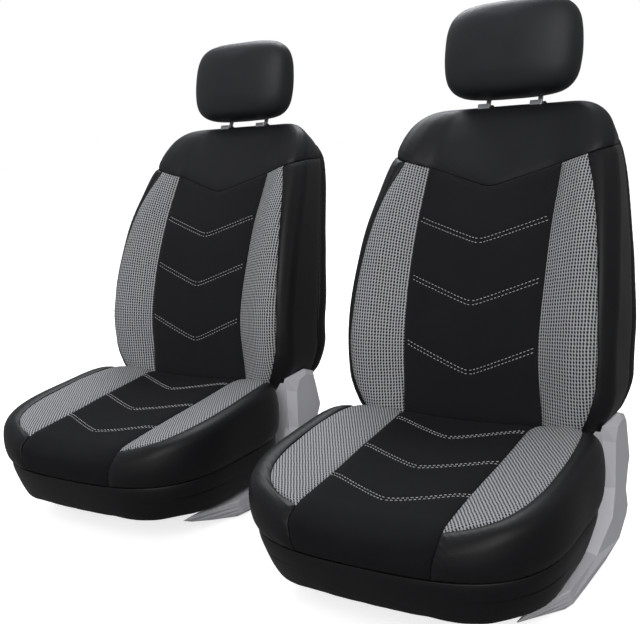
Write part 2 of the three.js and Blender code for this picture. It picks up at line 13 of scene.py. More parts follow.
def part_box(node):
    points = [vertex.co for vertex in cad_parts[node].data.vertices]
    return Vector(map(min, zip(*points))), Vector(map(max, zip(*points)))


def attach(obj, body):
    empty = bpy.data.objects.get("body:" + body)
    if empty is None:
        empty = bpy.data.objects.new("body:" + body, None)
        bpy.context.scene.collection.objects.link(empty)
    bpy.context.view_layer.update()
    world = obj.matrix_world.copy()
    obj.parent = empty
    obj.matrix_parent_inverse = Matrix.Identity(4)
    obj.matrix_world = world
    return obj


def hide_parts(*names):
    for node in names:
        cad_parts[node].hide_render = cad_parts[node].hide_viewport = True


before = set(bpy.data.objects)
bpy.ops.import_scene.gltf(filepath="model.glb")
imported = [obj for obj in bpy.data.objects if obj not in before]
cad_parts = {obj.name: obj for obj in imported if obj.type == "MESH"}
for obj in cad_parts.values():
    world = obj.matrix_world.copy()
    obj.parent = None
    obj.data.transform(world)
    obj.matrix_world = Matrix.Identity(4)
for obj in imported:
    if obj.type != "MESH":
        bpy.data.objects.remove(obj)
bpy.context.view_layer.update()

MM = 0.001
SEATS = ("right", "left")
SIDES = {"right": 1, "left": -1}
BASE = "seat_bases"

# ---------------------------------------------------------------- driving dimensions, mm
PIVOT = np.array([0.0, 138.0, 247.0])  # recliner axis in the seat's frame
SEAM_GAP = 0.8  # between the cut edges of two panels
CLOTH = 2.4  # thickness of the laminated cover

CUSHION_HALF_WIDTH = 281
CUSHION_CENTRE_Y = -170
CUSHION_FRONT = 231
CUSHION_REAR = 216
CUSHION_TOP = 284
CUSHION_RISE = 0.098
BOLSTER_RISE = 23
BOLSTER_X = 235
LIP_START = -335
LIP_ROLL = 300  # twice the radius of the front lip
SEAM_Z = 182
HEM_Z = 96

BITE = (50, 289)  # y and z where the backrest meets the cushion
REAR_SEAM = 0.72  # share of the thickness at which the gussets meet the rear panel
COVER_HEM_Z = 263
BOLSTER_DEPTH = 27

POST_LEAN = math.radians(24)
HEADREST_TILT = math.radians(-12)
HEADREST = {"width": 284, "height": 186, "depth": 112, "y": 336, "z": 869, "ahead": 26}
POST_X = 55
POST_RADIUS = 5
POST_REACH = 140

# ---------------------------------------------------------------- camera, light and floor
CAMERA_AT = Vector((1.0574, -1.5418, 0.8055))
CAMERA_AZIMUTH = math.radians(33.05)
CAMERA_ELEVATION = math.radians(11.29)
CAMERA_ROLL = math.radians(-4.24)
CAMERA_LENS = 51.9
WORLD_BRIGHTEST = Vector((-0.5, 0.1, 0.85)).normalized()
WORLD_LEVELS = (0.12, 0.42)
KEY_FROM = Vector((0.45, -0.75, 0.5)).normalized()
FLOOR_GLOW = 0.72


def make_camera():
    back = Vector((
        math.sin(CAMERA_AZIMUTH) * math.cos(CAMERA_ELEVATION),
        -math.cos(CAMERA_AZIMUTH) * math.cos(CAMERA_ELEVATION),
        math.sin(CAMERA_ELEVATION),
    ))
    right = (-back).cross(Vector((0, 0, 1))).normalized()
    up = right.cross(-back)
    turn = Matrix((right, up, back)).transposed().to_4x4()
    data = bpy.data.cameras.new("camera")
    data.sensor_width = 36
    data.lens = CAMERA_LENS
    camera = bpy.data.objects.new("camera", data)
    camera.matrix_world = Matrix.Translation(CAMERA_AT) @ turn @ Matrix.Rotation(CAMERA_ROLL, 4, "Z")
    bpy.context.scene.collection.objects.link(camera)
    bpy.context.scene.camera = camera


def area_light(name, at, target, size, power, colour=(1, 1, 1)):
    data = bpy.data.lights.new(name, "AREA")
    data.shape = "RECTANGLE"
    data.size, data.size_y = size
    data.energy = power
    data.color = colour
    light = bpy.data.objects.new(name, data)
    light.location = at
    light.rotation_euler = (Vector(target) - Vector(at)).to_track_quat("-Z", "Y").to_euler()
    bpy.context.scene.collection.objects.link(light)


def make_studio():
    """A soft white room that is brightest above and to the left, and one large lamp behind the seats."""
    scene = bpy.context.scene
    scene.view_settings.view_transform = "Standard"
    world = bpy.data.worlds.new("studio")
    world.use_nodes = True
    tree = world.node_tree
    background = tree.nodes["Background"]
    socket(tree, (0.97, 0.98, 1), background.inputs["Color"])
    direction = add(tree, "ShaderNodeTexCoord").outputs["Generated"]
    facing = add(tree, "ShaderNodeVectorMath", {0: direction, 1: WORLD_BRIGHTEST}, operation="DOT_PRODUCT")
    level = add(tree, "ShaderNodeMapRange", {"Value": facing.outputs["Value"], "From Min": -0.8})
    socket(tree, WORLD_LEVELS[0], level.inputs["To Min"])
    socket(tree, WORLD_LEVELS[1], level.inputs["To Max"])
    socket(tree, level.outputs["Result"], background.inputs["Strength"])
    scene.world = world
    sun = bpy.data.lights.new("key", "SUN")
    sun.energy = 1.4
    sun.angle = math.radians(45)
    lamp = bpy.data.objects.new("key", sun)
    lamp.rotation_euler = (-KEY_FROM).to_track_quat("-Z", "Y").to_euler()
    scene.collection.objects.link(lamp)
    area_light("overhead", (-1.0, 1.7, 2.9), (0, 0.2, 0.8), (1.8, 1.0), 60, (0.93, 0.96, 1))


# ---------------------------------------------------------------- smooth curves and grids
class Smooth:
    """A monotone cubic curve through the rows of a table: the first column in, the others out."""

    def __init__(self, rows):
        table = np.array(rows, float)
        self.x, self.y = table[:, 0], table[:, 1:]
        step = np.diff(self.x)[:, None]
        slope = np.diff(self.y, axis=0) / step
        before, after = slope[:-1], slope[1:]
        same = before * after > 0
        low = 2 * step[1:] + step[:-1]
        high = step[1:] + 2 * step[:-1]
        weighed = low / np.where(same, before, 1) + high / np.where(same, after, 1)
        mean = np.where(same, (low + high) / weighed, 0)
        self.m = np.vstack([slope[:1], mean, slope[-1:]])

    def __call__(self, at):
        at = np.clip(np.asarray(at, float), self.x[0], self.x[-1])
        i = np.clip(np.searchsorted(self.x, at) - 1, 0, len(self.x) - 2)
        h = (self.x[i + 1] - self.x[i])[..., None]
        t = (at - self.x[i])[..., None] / h
        value = (1 + 2 * t) * (1 - t) ** 2 * self.y[i] + t * t * (3 - 2 * t) * self.y[i + 1]
        value += h * (t * (1 - t) ** 2 * self.m[i] - t * t * (1 - t) * self.m[i + 1])
        return value if self.y.shape[1] > 1 else value[..., 0]


def eased(count, ends=0.75):
    """Shares from 0 to 1, closer together towards both ends."""
    even = np.linspace(0, 1, count)
    return ends * (1 - np.cos(math.pi * even)) / 2 + (1 - ends) * even


def smoothstep(x, low, high):
    t = np.clip((x - low) / (high - low), 0, 1)
    return t * t * (3 - 2 * t)


def run_along(line):
    """Distance travelled along a line, at each of its points."""
    return np.concatenate([[0], np.cumsum(np.linalg.norm(np.diff(line, axis=0), axis=1))])


def looked_up(at, run, values):
    """Rows of values at given distances along their line."""
    return np.stack([np.interp(at, run, column) for column in values.T], axis=-1)


def lengths(points, axis):
    """Distance travelled along one grid direction, from its first line."""
    steps = np.linalg.norm(np.diff(points, axis=axis), axis=2)
    shape = list(points.shape[:2])
    shape[axis] = 1
    return np.concatenate([np.zeros(shape), np.cumsum(steps, axis=axis)], axis=axis)


def seam_distance(points, sides):
    """Distance of each grid point from the nearest of the sides: left, right, first, last."""
    across, along = lengths(points, 1), lengths(points, 0)
    far = {
        "left": across,
        "right": across[:, -1:] - across,
        "first": along,
        "last": along[-1:] - along,
    }
    return np.min([far[side] for side in sides], axis=0)


def grid_normals(points):
    normal = np.cross(np.gradient(points, axis=1), np.gradient(points, axis=0))
    size = np.linalg.norm(normal, axis=2, keepdims=True)
    return normal / np.maximum(size, 1e-9)


def crowned(distance, puff, dip=3.2, reach=9.0):
    """Stand-off of a padded panel: pulled in at its seams and full between them."""
    return (puff + dip) * (1 - np.exp(-distance / reach)) - dip


def ripples(points, distance, phase, height=0.35, near=16):
    """Small puckers that fade away from a seam, over a slow uneven swell."""
    x, y, z = points[..., 0], points[..., 1], points[..., 2]
    run = 0.27 * x + 0.31 * y + 0.36 * z
    fine = np.sin(run + phase) + 0.6 * np.sin(1.63 * run + 2.1 * phase)
    slow = np.sin(0.021 * x + 0.034 * y + phase) * np.sin(0.027 * z - 0.013 * x + 1.7 * phase)
    return height * fine * np.exp(-distance / near) + 0.55 * slow


def stand_off(base, seams, phase, puff, dip=3.2, height=0.35):
    """How far a padded panel stands off its surface, with puckers beside its seams."""
    far = seam_distance(base, seams)
    return crowned(far, puff, dip) + ripples(base, far, phase, height)


ALL_ROUND = ("left", "right", "first", "last")
OPEN_START = ("left", "right", "last")  # of a panel whose first edge is a point or a hem


# ---------------------------------------------------------------- cushion surface
# The cushion is laid out flat: the flank unfolds outwards round the plan of the seat surface.
# Columns: unfolded size, size in plan, share of the height above the lower seam.
UNFOLDED = 1.34
CUSHION_PROFILE = Smooth([
    [0, 0, 1], [0.62, 0.62, 1], [0.8, 0.8, 0.997], [0.9, 0.9, 0.975], [0.975, 0.965, 0.89],
    [1.05, 0.992, 0.74], [1.14, 1, 0.5], [1.24, 0.993, 0.25], [UNFOLDED, 0.972, 0],
])
FRONT_POWER = 3.0  # of the superellipse of the plan
REAR_POWER = 5.0


def plan_power(y):
    return np.where(y < CUSHION_CENTRE_Y, FRONT_POWER, REAR_POWER)


def plan_reach(y):
    return np.where(y < CUSHION_CENTRE_Y, CUSHION_FRONT, CUSHION_REAR)


def plan_size(x, y):
    power = plan_power(y)
    across = (np.abs(x) / CUSHION_HALF_WIDTH) ** power
    along = (np.abs(y - CUSHION_CENTRE_Y) / plan_reach(y)) ** power
    return (across + along) ** (1 / power)


def plan_line(turn, size):
    """Points round the plan at angles from its centre, for a plan of a given size."""
    c, s = np.cos(turn), np.sin(turn)
    power = np.where(s < 0, FRONT_POWER, REAR_POWER)
    reach = np.where(s < 0, CUSHION_FRONT, CUSHION_REAR)
    x = CUSHION_HALF_WIDTH * size * np.sign(c) * np.abs(c) ** (2 / power)
    return x, CUSHION_CENTRE_Y + reach * size * np.sign(s) * np.abs(s) ** (2 / power)


def cushion_top(x, y):
    roll = np.maximum(0, LIP_START - y) ** 2 / LIP_ROLL
    bolster = BOLSTER_RISE * smoothstep(y, LIP_START - 95, LIP_START - 5) * (x / BOLSTER_X) ** 2
    return CUSHION_TOP + CUSHION_RISE * y - roll + bolster


def cushion_at(x, y):
    """Points of the cushion surface at unfolded plan points."""
    size = np.maximum(plan_size(x, y), 1e-6)
    profile = CUSHION_PROFILE(size)
    shrink = profile[..., 0] / size
    px = x * shrink
    py = CUSHION_CENTRE_Y + (y - CUSHION_CENTRE_Y) * shrink
    return np.stack([px, py, SEAM_Z + (cushion_top(px, py) - SEAM_Z) * profile[..., 1]], axis=-1)


def edge_y(x, rear, size=UNFOLDED):
    """Unfolded y of the lower seam at an unfolded x."""
    power, reach = (REAR_POWER, CUSHION_REAR) if rear else (FRONT_POWER, -CUSHION_FRONT)
    left = np.maximum(size ** power - (np.abs(x) / CUSHION_HALF_WIDTH) ** power, 1e-9)
    return CUSHION_CENTRE_Y + reach * left ** (1 / power)


# Seams of the right half of the cushion cover, as x at each unfolded y.
WING_TIP = (129, -361)
LIP_END = (166, -475)  # where the inner seam meets the lower seam
REAR_CORNER = (232, 130)  # where the outer seam does
INNER_SEAM = Smooth([
    [-475, 166], [-400, 134], [-361, 129], [-247, 127], [-129, 130], [-3, 131], [46, 138], [130, 160],
])
OUTER_SEAM = Smooth([
    [-361, 129], [-344, 176], [-312, 211], [-262, 232], [-200, 241], [-127, 243], [-60, 239], [12, 229],
    [60, 218], [130, 232],
])
CUSHION_CHEVRONS = [(-3, -53), (-129, -178), (-247, -296)]
CUSHION_CHEVRON_X = 131
CHEVRON_ROUND = 10


def chevron(x, end, apex, half_width):
    """Second coordinate of a V at x, rounded at its apex."""
    bent = np.sqrt(x * x + CHEVRON_ROUND ** 2) - CHEVRON_ROUND
    return apex + (end - apex) * bent / (half_width - CHEVRON_ROUND)


def quilting(x, second, chevrons, half_width, depth=1.5, width=5.5):
    """How far the chevron stitching pulls the centre panel in."""
    pull = np.zeros_like(x)
    for end, apex in chevrons:
        far = second - chevron(x, end, apex, half_width)
        pull += depth * np.exp(-(far / width) ** 2)
    return pull


def cushion_centre():
    share = 2 * eased(61, 0.6)[None, :] - 1
    half = INNER_SEAM.y[0, 0] - SEAM_GAP / 2
    front = edge_y(share * half, False)
    rear = edge_y(share * 150, True)
    y = front + (rear - front) * eased(120, 0.35)[:, None]
    x = share * (INNER_SEAM(y) - SEAM_GAP / 2)
    base = cushion_at(x, y)
    pull = quilting(x, y, CUSHION_CHEVRONS, CUSHION_CHEVRON_X)
    return base, stand_off(base, ALL_ROUND, 0.4, puff=1.6) - pull


RIB_TURN = math.radians(33)  # the cushion's mesh is cut with its ribs at this angle to the seat


def cushion_wing(side):
    share = eased(34)[None, :]
    rear = edge_y(200.0, True)
    y = WING_TIP[1] + 1.2 + (rear - WING_TIP[1] - 1.2) * eased(120, 0.7)[:, None]
    low = INNER_SEAM(y) + SEAM_GAP / 2
    high = OUTER_SEAM(y) - SEAM_GAP / 2
    x = low + np.maximum(high - low, 0.05) * share
    y = y + np.zeros_like(x)
    base = cushion_at(x * side, y)
    c, s = math.cos(RIB_TURN), math.sin(RIB_TURN)
    weave = np.stack([x * side * c + y * s, y * c - x * side * s], axis=-1)
    return base, stand_off(base, OPEN_START, 1.3 + side, puff=1.8, height=0.25), weave


def cushion_bolster(side):
    along = eased(130, 0.5)[:, None]
    seam_y = WING_TIP[1] + (REAR_CORNER[1] - WING_TIP[1]) * along ** 1.5
    seam_x = OUTER_SEAM(seam_y) + SEAM_GAP / 2
    start = math.atan2(LIP_END[1] - CUSHION_CENTRE_Y, LIP_END[0] + SEAM_GAP / 2)
    end = math.atan2(REAR_CORNER[1] - CUSHION_CENTRE_Y, REAR_CORNER[0])
    turn = start + (end - start) * along
    ring = np.stack([np.cos(turn), np.sin(turn)], axis=-1)
    ring_y = CUSHION_CENTRE_Y + ring[..., 1]
    reach = UNFOLDED / plan_size(ring[..., 0], ring_y)
    ring_x, ring_y = ring[..., 0] * reach, CUSHION_CENTRE_Y + ring[..., 1] * reach
    share = eased(56, 0.6)[None, :]
    x = seam_x + (ring_x - seam_x) * share
    y = seam_y + (ring_y - seam_y) * share
    lip = INNER_SEAM(y[:1]) + SEAM_GAP / 2 - x[:1]
    x = x + lip * np.exp(-along * 14)
    base = cushion_at(x * side, y)
    return base, stand_off(base, ALL_ROUND, 2.2 + side, puff=2.4, dip=2.4)


# Share of the way down the cloth, size in plan, share of the drop to the hem.
SKIRT_SHAPE = [
    [0, 0.972, 0], [0.1, 0.968, 0.1], [0.45, 0.94, 0.46], [0.8, 0.9, 0.84], [0.93, 0.878, 0.97],
    [1, 0.855, 1],
]
SKIRT_REAR = [[90, -26], [138, 26], [168, 43], [200, 43]]  # y of its rear ends at each height
GATHERS = [(0.105, 0, 0.16), (0.173, 1.0, 0.112), (0.061, 2.0, 0.08)]  # turn per mm, phase, height


def skirt():
    """The valance below the lower seam, open at the rear where the shields sit."""
    down = np.linspace(0, 1, 40)
    shape = Smooth(SKIRT_SHAPE)(down)
    turns = np.linspace(-math.pi * 1.5, math.pi / 2, 2401)
    grid = []
    for spread, fall in shape:
        x, y = plan_line(turns, spread)
        hem = HEM_Z + 15 * (1 - smoothstep(np.abs(x), 90, 210)) + 10 * corner_lift(x, y)
        z = SEAM_Z - SEAM_GAP + (hem - SEAM_Z) * fall
        kept = y < np.interp(z, *zip(*SKIRT_REAR))
        line = np.stack([x[kept], y[kept], z[kept]], axis=-1)
        run = run_along(line)
        grid.append(looked_up(np.linspace(0, run[-1], 260), run, line))
    base = np.array(grid)
    far = seam_distance(base, ("first",))
    off = crowned(far, puff=0.5, dip=2.2, reach=7)
    around = lengths(base, 1)
    gather = sum(height * np.sin(around * turn + phase) for turn, phase, height in GATHERS)
    return base, off + gather * smoothstep(down, 0.45, 1.0)[:, None]


def corner_lift(x, y):
    return smoothstep(np.abs(x), 120, 230) * smoothstep(-y, 200, 330)


# ---------------------------------------------------------------- backrest surface
# Length along the front, degrees of lean to the rear.
LEAN = [[-60, 0], [85, 0], [175, 17], [300, 25], [400, 33], [420, 34], [700, 34]]


def lean_at(length):
    return np.radians(np.interp(length, *zip(*LEAN)))


# Length along the front, half width, thickness, setback of the front, bolster height.
STATIONS = np.array([
    [-52, 165, 84, 42, 0], [-42, 200, 132, 21, 6], [-20, 228, 162, 7, 16], [4, 247, 175, 1, 22],
    [70, 266, 182, 0, BOLSTER_DEPTH], [190, 267, 180, 0, BOLSTER_DEPTH], [330, 259, 162, 0, BOLSTER_DEPTH],
    [456, 243, 138, 0, 22], [549, 224, 122, 0, 14], [598, 207, 110, 3, 8], [628, 181, 92, 10, 3],
    [645, 148, 66, 22, 0], [652, 112, 38, 35, 0], [654, 84, 0, 54, 0],
], float)
STATION_STEPS = np.abs(np.diff(STATIONS, axis=0)) @ np.array([1, 0.6, 0.35, 0, 0])
STATION_AT = np.concatenate([[0], np.cumsum(STATION_STEPS)])
ALONG = Smooth(np.column_stack([STATION_AT, STATIONS]))
TOP = STATION_AT[-1]
BACK_TOP = STATION_AT[-4]  # where the rear panel meets the yoke

# Half section from the front centre to the rear centre, one row a step: share of the half width,
# share of the thickness behind the front, share of the bolster height in front of it.
SECTION = Smooth([
    [-1, -0.5, 0, 0.04], [0, 0, 0, 0], [1, 0.5, 0, 0.04], [2, 0.64, 0, 0.5], [3, 0.76, 0, 0.95],
    [4, 0.84, 0, 1], [5, 0.91, 0.005, 0.75], [6, 0.965, 0.03, 0.2], [7, 1, 0.13, 0], [8, 1, 0.78, 0],
    [9, 0.975, 0.91, 0], [10, 0.88, 0.99, 0], [11, 0, 1, 0], [12, -0.88, 0.99, 0],
])
ROW_STEPS = 100  # samples a row
FRONT_END, FLANK_END, REAR_CENTRE = 7, 8, 11  # rows where the front, the flank and the half section end
SECTION_T = np.linspace(0, REAR_CENTRE, REAR_CENTRE * ROW_STEPS + 1)
SECTION_SHARES = SECTION(SECTION_T)
TYPICAL = (258, 168, 25)  # half width, thickness and bolster height that lengths round the section go by
SECTION_LINE = np.stack([
    SECTION_SHARES[:, 0] * TYPICAL[0],
    SECTION_SHARES[:, 1] * TYPICAL[1] - SECTION_SHARES[:, 2] * TYPICAL[2],
], axis=-1)
SECTION_RUN = run_along(SECTION_LINE)
HALF_ROUND = SECTION_RUN[-1]
FRONT_PART = SECTION_T <= FRONT_END
FLANK = slice(FRONT_END * ROW_STEPS, FLANK_END * ROW_STEPS + 1)
REAR_SEAM_AT = np.interp(REAR_SEAM, SECTION_SHARES[FLANK, 1], SECTION_RUN[FLANK])


def spine_table():
    step = 1.0
    length = np.arange(0, 721, step)
    lean = lean_at(length + step / 2)
    y = BITE[0] + np.concatenate([[0], np.cumsum(np.sin(lean) * step)])[:-1]
    z = BITE[1] + np.concatenate([[0], np.cumsum(np.cos(lean) * step)])[:-1]
    return length, y, z


SPINE = spine_table()


def backrest_at(run, along):
    """Points at a distance round the section from its front centre, and a place along the backrest."""
    side = np.where(run > HALF_ROUND, -1.0, 1.0) * np.sign(run + 1e-9)
    half_run = np.where(np.abs(run) > HALF_ROUND, 2 * HALF_ROUND - np.abs(run), np.abs(run))
    share = SECTION(np.interp(half_run, SECTION_RUN, SECTION_T))
    row = ALONG(along)
    length = row[..., 0]
    depth = row[..., 3] + share[..., 1] * row[..., 2] - share[..., 2] * row[..., 4]
    lean = lean_at(length)
    y = np.interp(length, SPINE[0], SPINE[1])
    z = np.interp(length, SPINE[0], SPINE[2]) + np.minimum(length, 0)
    x = side * share[..., 0] * row[..., 1]
    return np.stack([x, y + depth * np.cos(lean), z - depth * np.sin(lean)], axis=-1)


BACK_INNER = Smooth([[180, 140], [289, 139], [427, 134], [548, 136], [750, 135], [800, 135]])
BACK_OUTER = Smooth([
    [180, 205], [283, 218], [320, 233], [370, 246], [425, 249], [480, 246], [560, 239], [640, 228],
    [700, 213], [765, 187], [800, 176],
])
BACK_CHEVRONS = [(654, 613), (548, 502), (427, 374)]
BACK_CHEVRON_X = 135


YOKE_APEX = 712  # height of the point of the yoke's V
YOKE_ROUND = 12
YOKE_SLOPE = 38 / 123
YOKE_FLANK_X = 187  # beyond this the seam falls away


def yoke_height(x):
    rise = (np.sqrt(x * x + YOKE_ROUND ** 2) - YOKE_ROUND) * YOKE_SLOPE
    past = np.abs(x) - YOKE_FLANK_X
    return YOKE_APEX + rise - 0.3 * smoothstep(past, 0, 113) * past


def seam_run(line, along):
    """Distance round the section of a front seam, given as x at each height."""
    run = np.full(np.shape(along), 150.0)
    for _ in range(8):
        x = line(backrest_at(run, along)[..., 2])
        share = np.minimum(x / ALONG(along)[..., 1], 0.9999)
        run = np.interp(share, SECTION_SHARES[FRONT_PART, 0], SECTION_RUN[FRONT_PART])
    return run


def crossing(run_of, level_of, low, high, samples=500):
    """Place along the backrest where each column reaches a level."""
    along = np.linspace(low, high, samples)[:, None]
    points = backrest_at(run_of(along), along)
    above = points[..., 2] - level_of(points[..., 0])
    index = np.clip(np.argmax(above > 0, axis=0), 1, samples - 1)
    column = np.arange(above.shape[1])
    a, b = above[index - 1, column], above[index, column]
    part = np.clip(-a / (b - a), 0, 1)
    return along[index - 1, 0] + part * (along[1, 0] - along[0, 0])


def column_grid(run_of, top=None, rows=130):
    """A grid between the hem and the yoke seam, or a given place along the backrest."""
    hem = lambda x: np.full_like(x, COVER_HEM_Z)
    low = crossing(run_of, hem, 2, 160)
    gap = lambda x: yoke_height(x) - SEAM_GAP / 2
    high = crossing(run_of, gap, 300, BACK_TOP + 10) if top is None else np.full_like(low, top)
    along = low + (high - low) * eased(rows, 0.5)[:, None]
    return backrest_at(run_of(along), along)


def back_centre():
    share = 2 * eased(65, 0.6)[None, :] - 1
    run_of = lambda along: share * (seam_run(BACK_INNER, along) - SEAM_GAP / 2)
    base = column_grid(run_of)
    pull = quilting(base[..., 0], base[..., 2], BACK_CHEVRONS, BACK_CHEVRON_X)
    return base, stand_off(base, OPEN_START, 3.0, puff=1.4) - pull


def back_wing(side):
    columns = 36
    share = eased(columns)[None, :]

    def run_of(along):
        low = seam_run(BACK_INNER, along) + SEAM_GAP / 2
        high = seam_run(BACK_OUTER, along) - SEAM_GAP / 2
        return side * (low + (high - low) * share)

    base = column_grid(run_of)
    middle = run_along(base[:, columns // 2])[:, None]
    weave = np.stack([np.abs(base[..., 0]), np.repeat(middle, columns, axis=1)], axis=-1)
    return base, stand_off(base, OPEN_START, 0.9 + side, puff=2.2, height=0.25), weave


def back_gusset(side):
    share = eased(52, 0.6)[None, :]

    def run_of(along):
        low = seam_run(BACK_OUTER, along) + SEAM_GAP / 2
        return side * (low + (REAR_SEAM_AT - SEAM_GAP / 2 - low) * share)

    base = column_grid(run_of)
    return base, stand_off(base, OPEN_START, 1.9 + side, puff=3.0)


def back_rear():
    share = eased(96, 0.4)[None, :]
    low, high = REAR_SEAM_AT + SEAM_GAP / 2, 2 * HALF_ROUND - REAR_SEAM_AT - SEAM_GAP / 2
    run_of = lambda along: low + (high - low) * share + 0 * along
    base = column_grid(run_of, BACK_TOP - SEAM_GAP / 2)
    return base, stand_off(base, OPEN_START, 5.1, puff=3.0)


def back_yoke():
    """Two grids: the front of the yoke up to its top, and the roll over the top to the rear seam."""
    share = np.sign(np.linspace(-1, 1, 141)) * np.abs(np.linspace(-1, 1, 141)) ** 0.9
    front_run = share * (REAR_SEAM_AT - SEAM_GAP / 2)
    run_of = lambda along: front_run[None, :] + 0 * along
    gap = lambda x: yoke_height(x) + SEAM_GAP / 2
    low = crossing(run_of, gap, 300, BACK_TOP)
    along = low + (BACK_TOP - low) * eased(64, 0.5)[:, None]
    run = run_of(along)
    front = backrest_at(run, along)
    yoke_far = seam_distance(front, ("first",))
    front_far = np.minimum(yoke_far, REAR_SEAM_AT - np.abs(run))
    rear_end = 2 * HALF_ROUND - REAR_SEAM_AT
    rear_run = np.linspace(REAR_SEAM_AT - SEAM_GAP / 2, rear_end + SEAM_GAP / 2, 91)[1:-1]
    ring_run = np.concatenate([front_run, rear_run, front_run[:1] + 2 * HALF_ROUND])
    cap_along = (BACK_TOP + (TOP - BACK_TOP) * np.linspace(0, 1, 34))[:, None]
    ring = ring_run[None, :] + 0 * cap_along
    cap = backrest_at(ring, cap_along)
    past = np.abs(ring) - REAR_SEAM_AT
    past = np.where(ring > rear_end, 0, past)
    over = cap_along - BACK_TOP
    cap_far = np.where(past < 0, np.hypot(past, over), over)
    return front, front_far, cap, cap_far


# ---------------------------------------------------------------- headrest
# Height share, half-width share and half-depth share.
LOWEST, HIGHEST = -0.004, 1.006
HEADREST_RINGS = Smooth([
    [LOWEST, 0.3, 0.2], [0, 0.62, 0.5], [0.03, 0.78, 0.72], [0.1, 0.895, 0.9], [0.22, 0.968, 0.985],
    [0.45, 1, 1], [0.64, 0.993, 0.955], [0.78, 0.965, 0.875], [0.89, 0.895, 0.76], [0.965, 0.77, 0.58],
    [1, 0.64, 0.4], [HIGHEST, 0.3, 0.16],
])


FOOT = np.array([0, HEADREST["y"], HEADREST["z"]])
AHEAD = np.array([0, HEADREST["ahead"], 0])


def turned(points, angle):
    """Points leaned to the rear by an angle, about the x axis."""
    c, s = math.cos(angle), math.sin(angle)
    x, y, z = np.moveaxis(points, -1, 0)
    return np.stack([x, y * c + z * s, z * c - y * s], axis=-1)


def to_seat(points):
    """From post axes, z along the posts and origin at the headrest's foot, to the seat's frame."""
    return turned(points, POST_LEAN) + FOOT


def to_post_axes(points):
    return turned(points - FOOT, -POST_LEAN)


def headrest_at(turn, share):
    ring = HEADREST_RINGS(share)
    c, s = np.cos(turn), np.sin(turn)
    x = (HEADREST["width"] / 2 + 1.5) * ring[..., 0] * np.sign(c) * np.abs(c) ** 0.66
    y = HEADREST["depth"] / 2 * ring[..., 1] * np.sign(s) * np.abs(s) ** 0.86
    z = share * HEADREST["height"]
    return turned(np.stack([x, y, z], axis=-1), HEADREST_TILT) - AHEAD


# ---------------------------------------------------------------- meshes
def seat_origin(seat):
    low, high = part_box(f"{seat}_recliner_tube")
    return np.array((low + high) / 2) - PIVOT * MM


def place(seat, points):
    return np.asarray(points) * MM + seat_origin(seat)


def mesh_object(name, points, faces, weave=None):
    mesh = bpy.data.meshes.new(name)
    mesh.from_pydata(np.reshape(points, (-1, 3)).tolist(), [], faces)
    if weave is not None:
        layer = mesh.attributes.new("weave", "FLOAT_VECTOR", "POINT")
        flat = np.zeros((len(mesh.vertices), 3), np.float32)
        flat[:, :2] = np.reshape(weave, (-1, 2))
        layer.data.foreach_set("vector", flat.ravel())
    piece = bpy.data.objects.new(name, mesh)
    bpy.context.scene.collection.objects.link(piece)
    return piece


def grid_faces(rows, columns, start=0):
    faces = []
    for r in range(rows - 1):
        for c in range(columns - 1):
            a = start + r * columns + c
            faces.append((a, a + 1, a + columns + 1, a + columns))
    return faces


def ring_faces(rows, columns, first=0):
    """Faces of a tube of closed rings, with both ends shut."""
    faces = []
    for r in range(rows - 1):
        for c in range(columns):
            a, b = first + r * columns + c, first + r * columns + (c + 1) % columns
            faces.append((a, b, b + columns, a + columns))
    last = first + (rows - 1) * columns
    faces.append(tuple(range(first, first + columns))[::-1])
    faces.append(tuple(range(last, last + columns)))
    return faces


def shade_smooth(piece):
    piece.data.polygons.foreach_set("use_smooth", [True] * len(piece.data.polygons))


def tidy(piece, inside, weld=2e-5):
    """Welds what meets, drops faces of no size, and turns every face away from a point inside."""
    made = bmesh.new()
    made.from_mesh(piece.data)
    bmesh.ops.remove_doubles(made, verts=made.verts, dist=weld)
    bmesh.ops.dissolve_degenerate(made, dist=weld / 2, edges=made.edges)
    bmesh.ops.recalc_face_normals(made, faces=made.faces)
    outward = sum(f.normal.dot(f.calc_center_median() - Vector(inside)) * f.calc_area() for f in made.faces)
    if outward < 0:
        bmesh.ops.reverse_faces(made, faces=made.faces)
    for face in made.faces:
        face.smooth = True
    made.to_mesh(piece.data)
    made.free()
    return piece


def thicken(piece, thickness=CLOTH):
    modifier = piece.modifiers.new("cloth", "SOLIDIFY")
    modifier.thickness = thickness * MM
    modifier.offset = -1
    modifier.use_rim = True
    return piece


INSIDE = {"cushion": (0, -170, 220), "backrest": (0, 190, 560), "headrest": (0, 360, 960)}


def facing_out(normal, points, inside):
    return normal if np.sum(normal * (points - np.array(inside))) > 0 else -normal


def panel_normals(points, part):
    return facing_out(grid_normals(points), points, INSIDE[part])


def outward(base, offset, part):
    return base + panel_normals(base, part) * offset[..., None]


def panel(seat, name, laid_out, finish):
    """A cover panel from its grid, stand-off and any weave, as laminated cloth on its part of the seat."""
    base, offset, *weave = laid_out
    part = name.split("_")[0]
    points = outward(base, offset, part)
    piece = mesh_object(f"{seat}_{name}", place(seat, points), grid_faces(*points.shape[:2]), *weave)
    tidy(piece, place(seat, INSIDE[part]))
    thicken(piece)
    dress(piece, body_of(seat, part), finish)


def body_of(seat, part):
    """The moving body that a part of the seat belongs to."""
    return BASE if part == "cushion" else f"{seat}_{part}"


def dress(piece, body, finish):
    piece.data.materials.append(finish)
    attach(piece, body)


# ---------------------------------------------------------------- materials
def socket(tree, value, target):
    """Feeds a constant or another node's output into a socket. A colour is red, green and blue."""
    if isinstance(value, bpy.types.NodeSocket):
        tree.links.new(value, target)
    elif isinstance(target, bpy.types.NodeSocketColor):
        target.default_value = (*value, 1)
    else:
        target.default_value = value


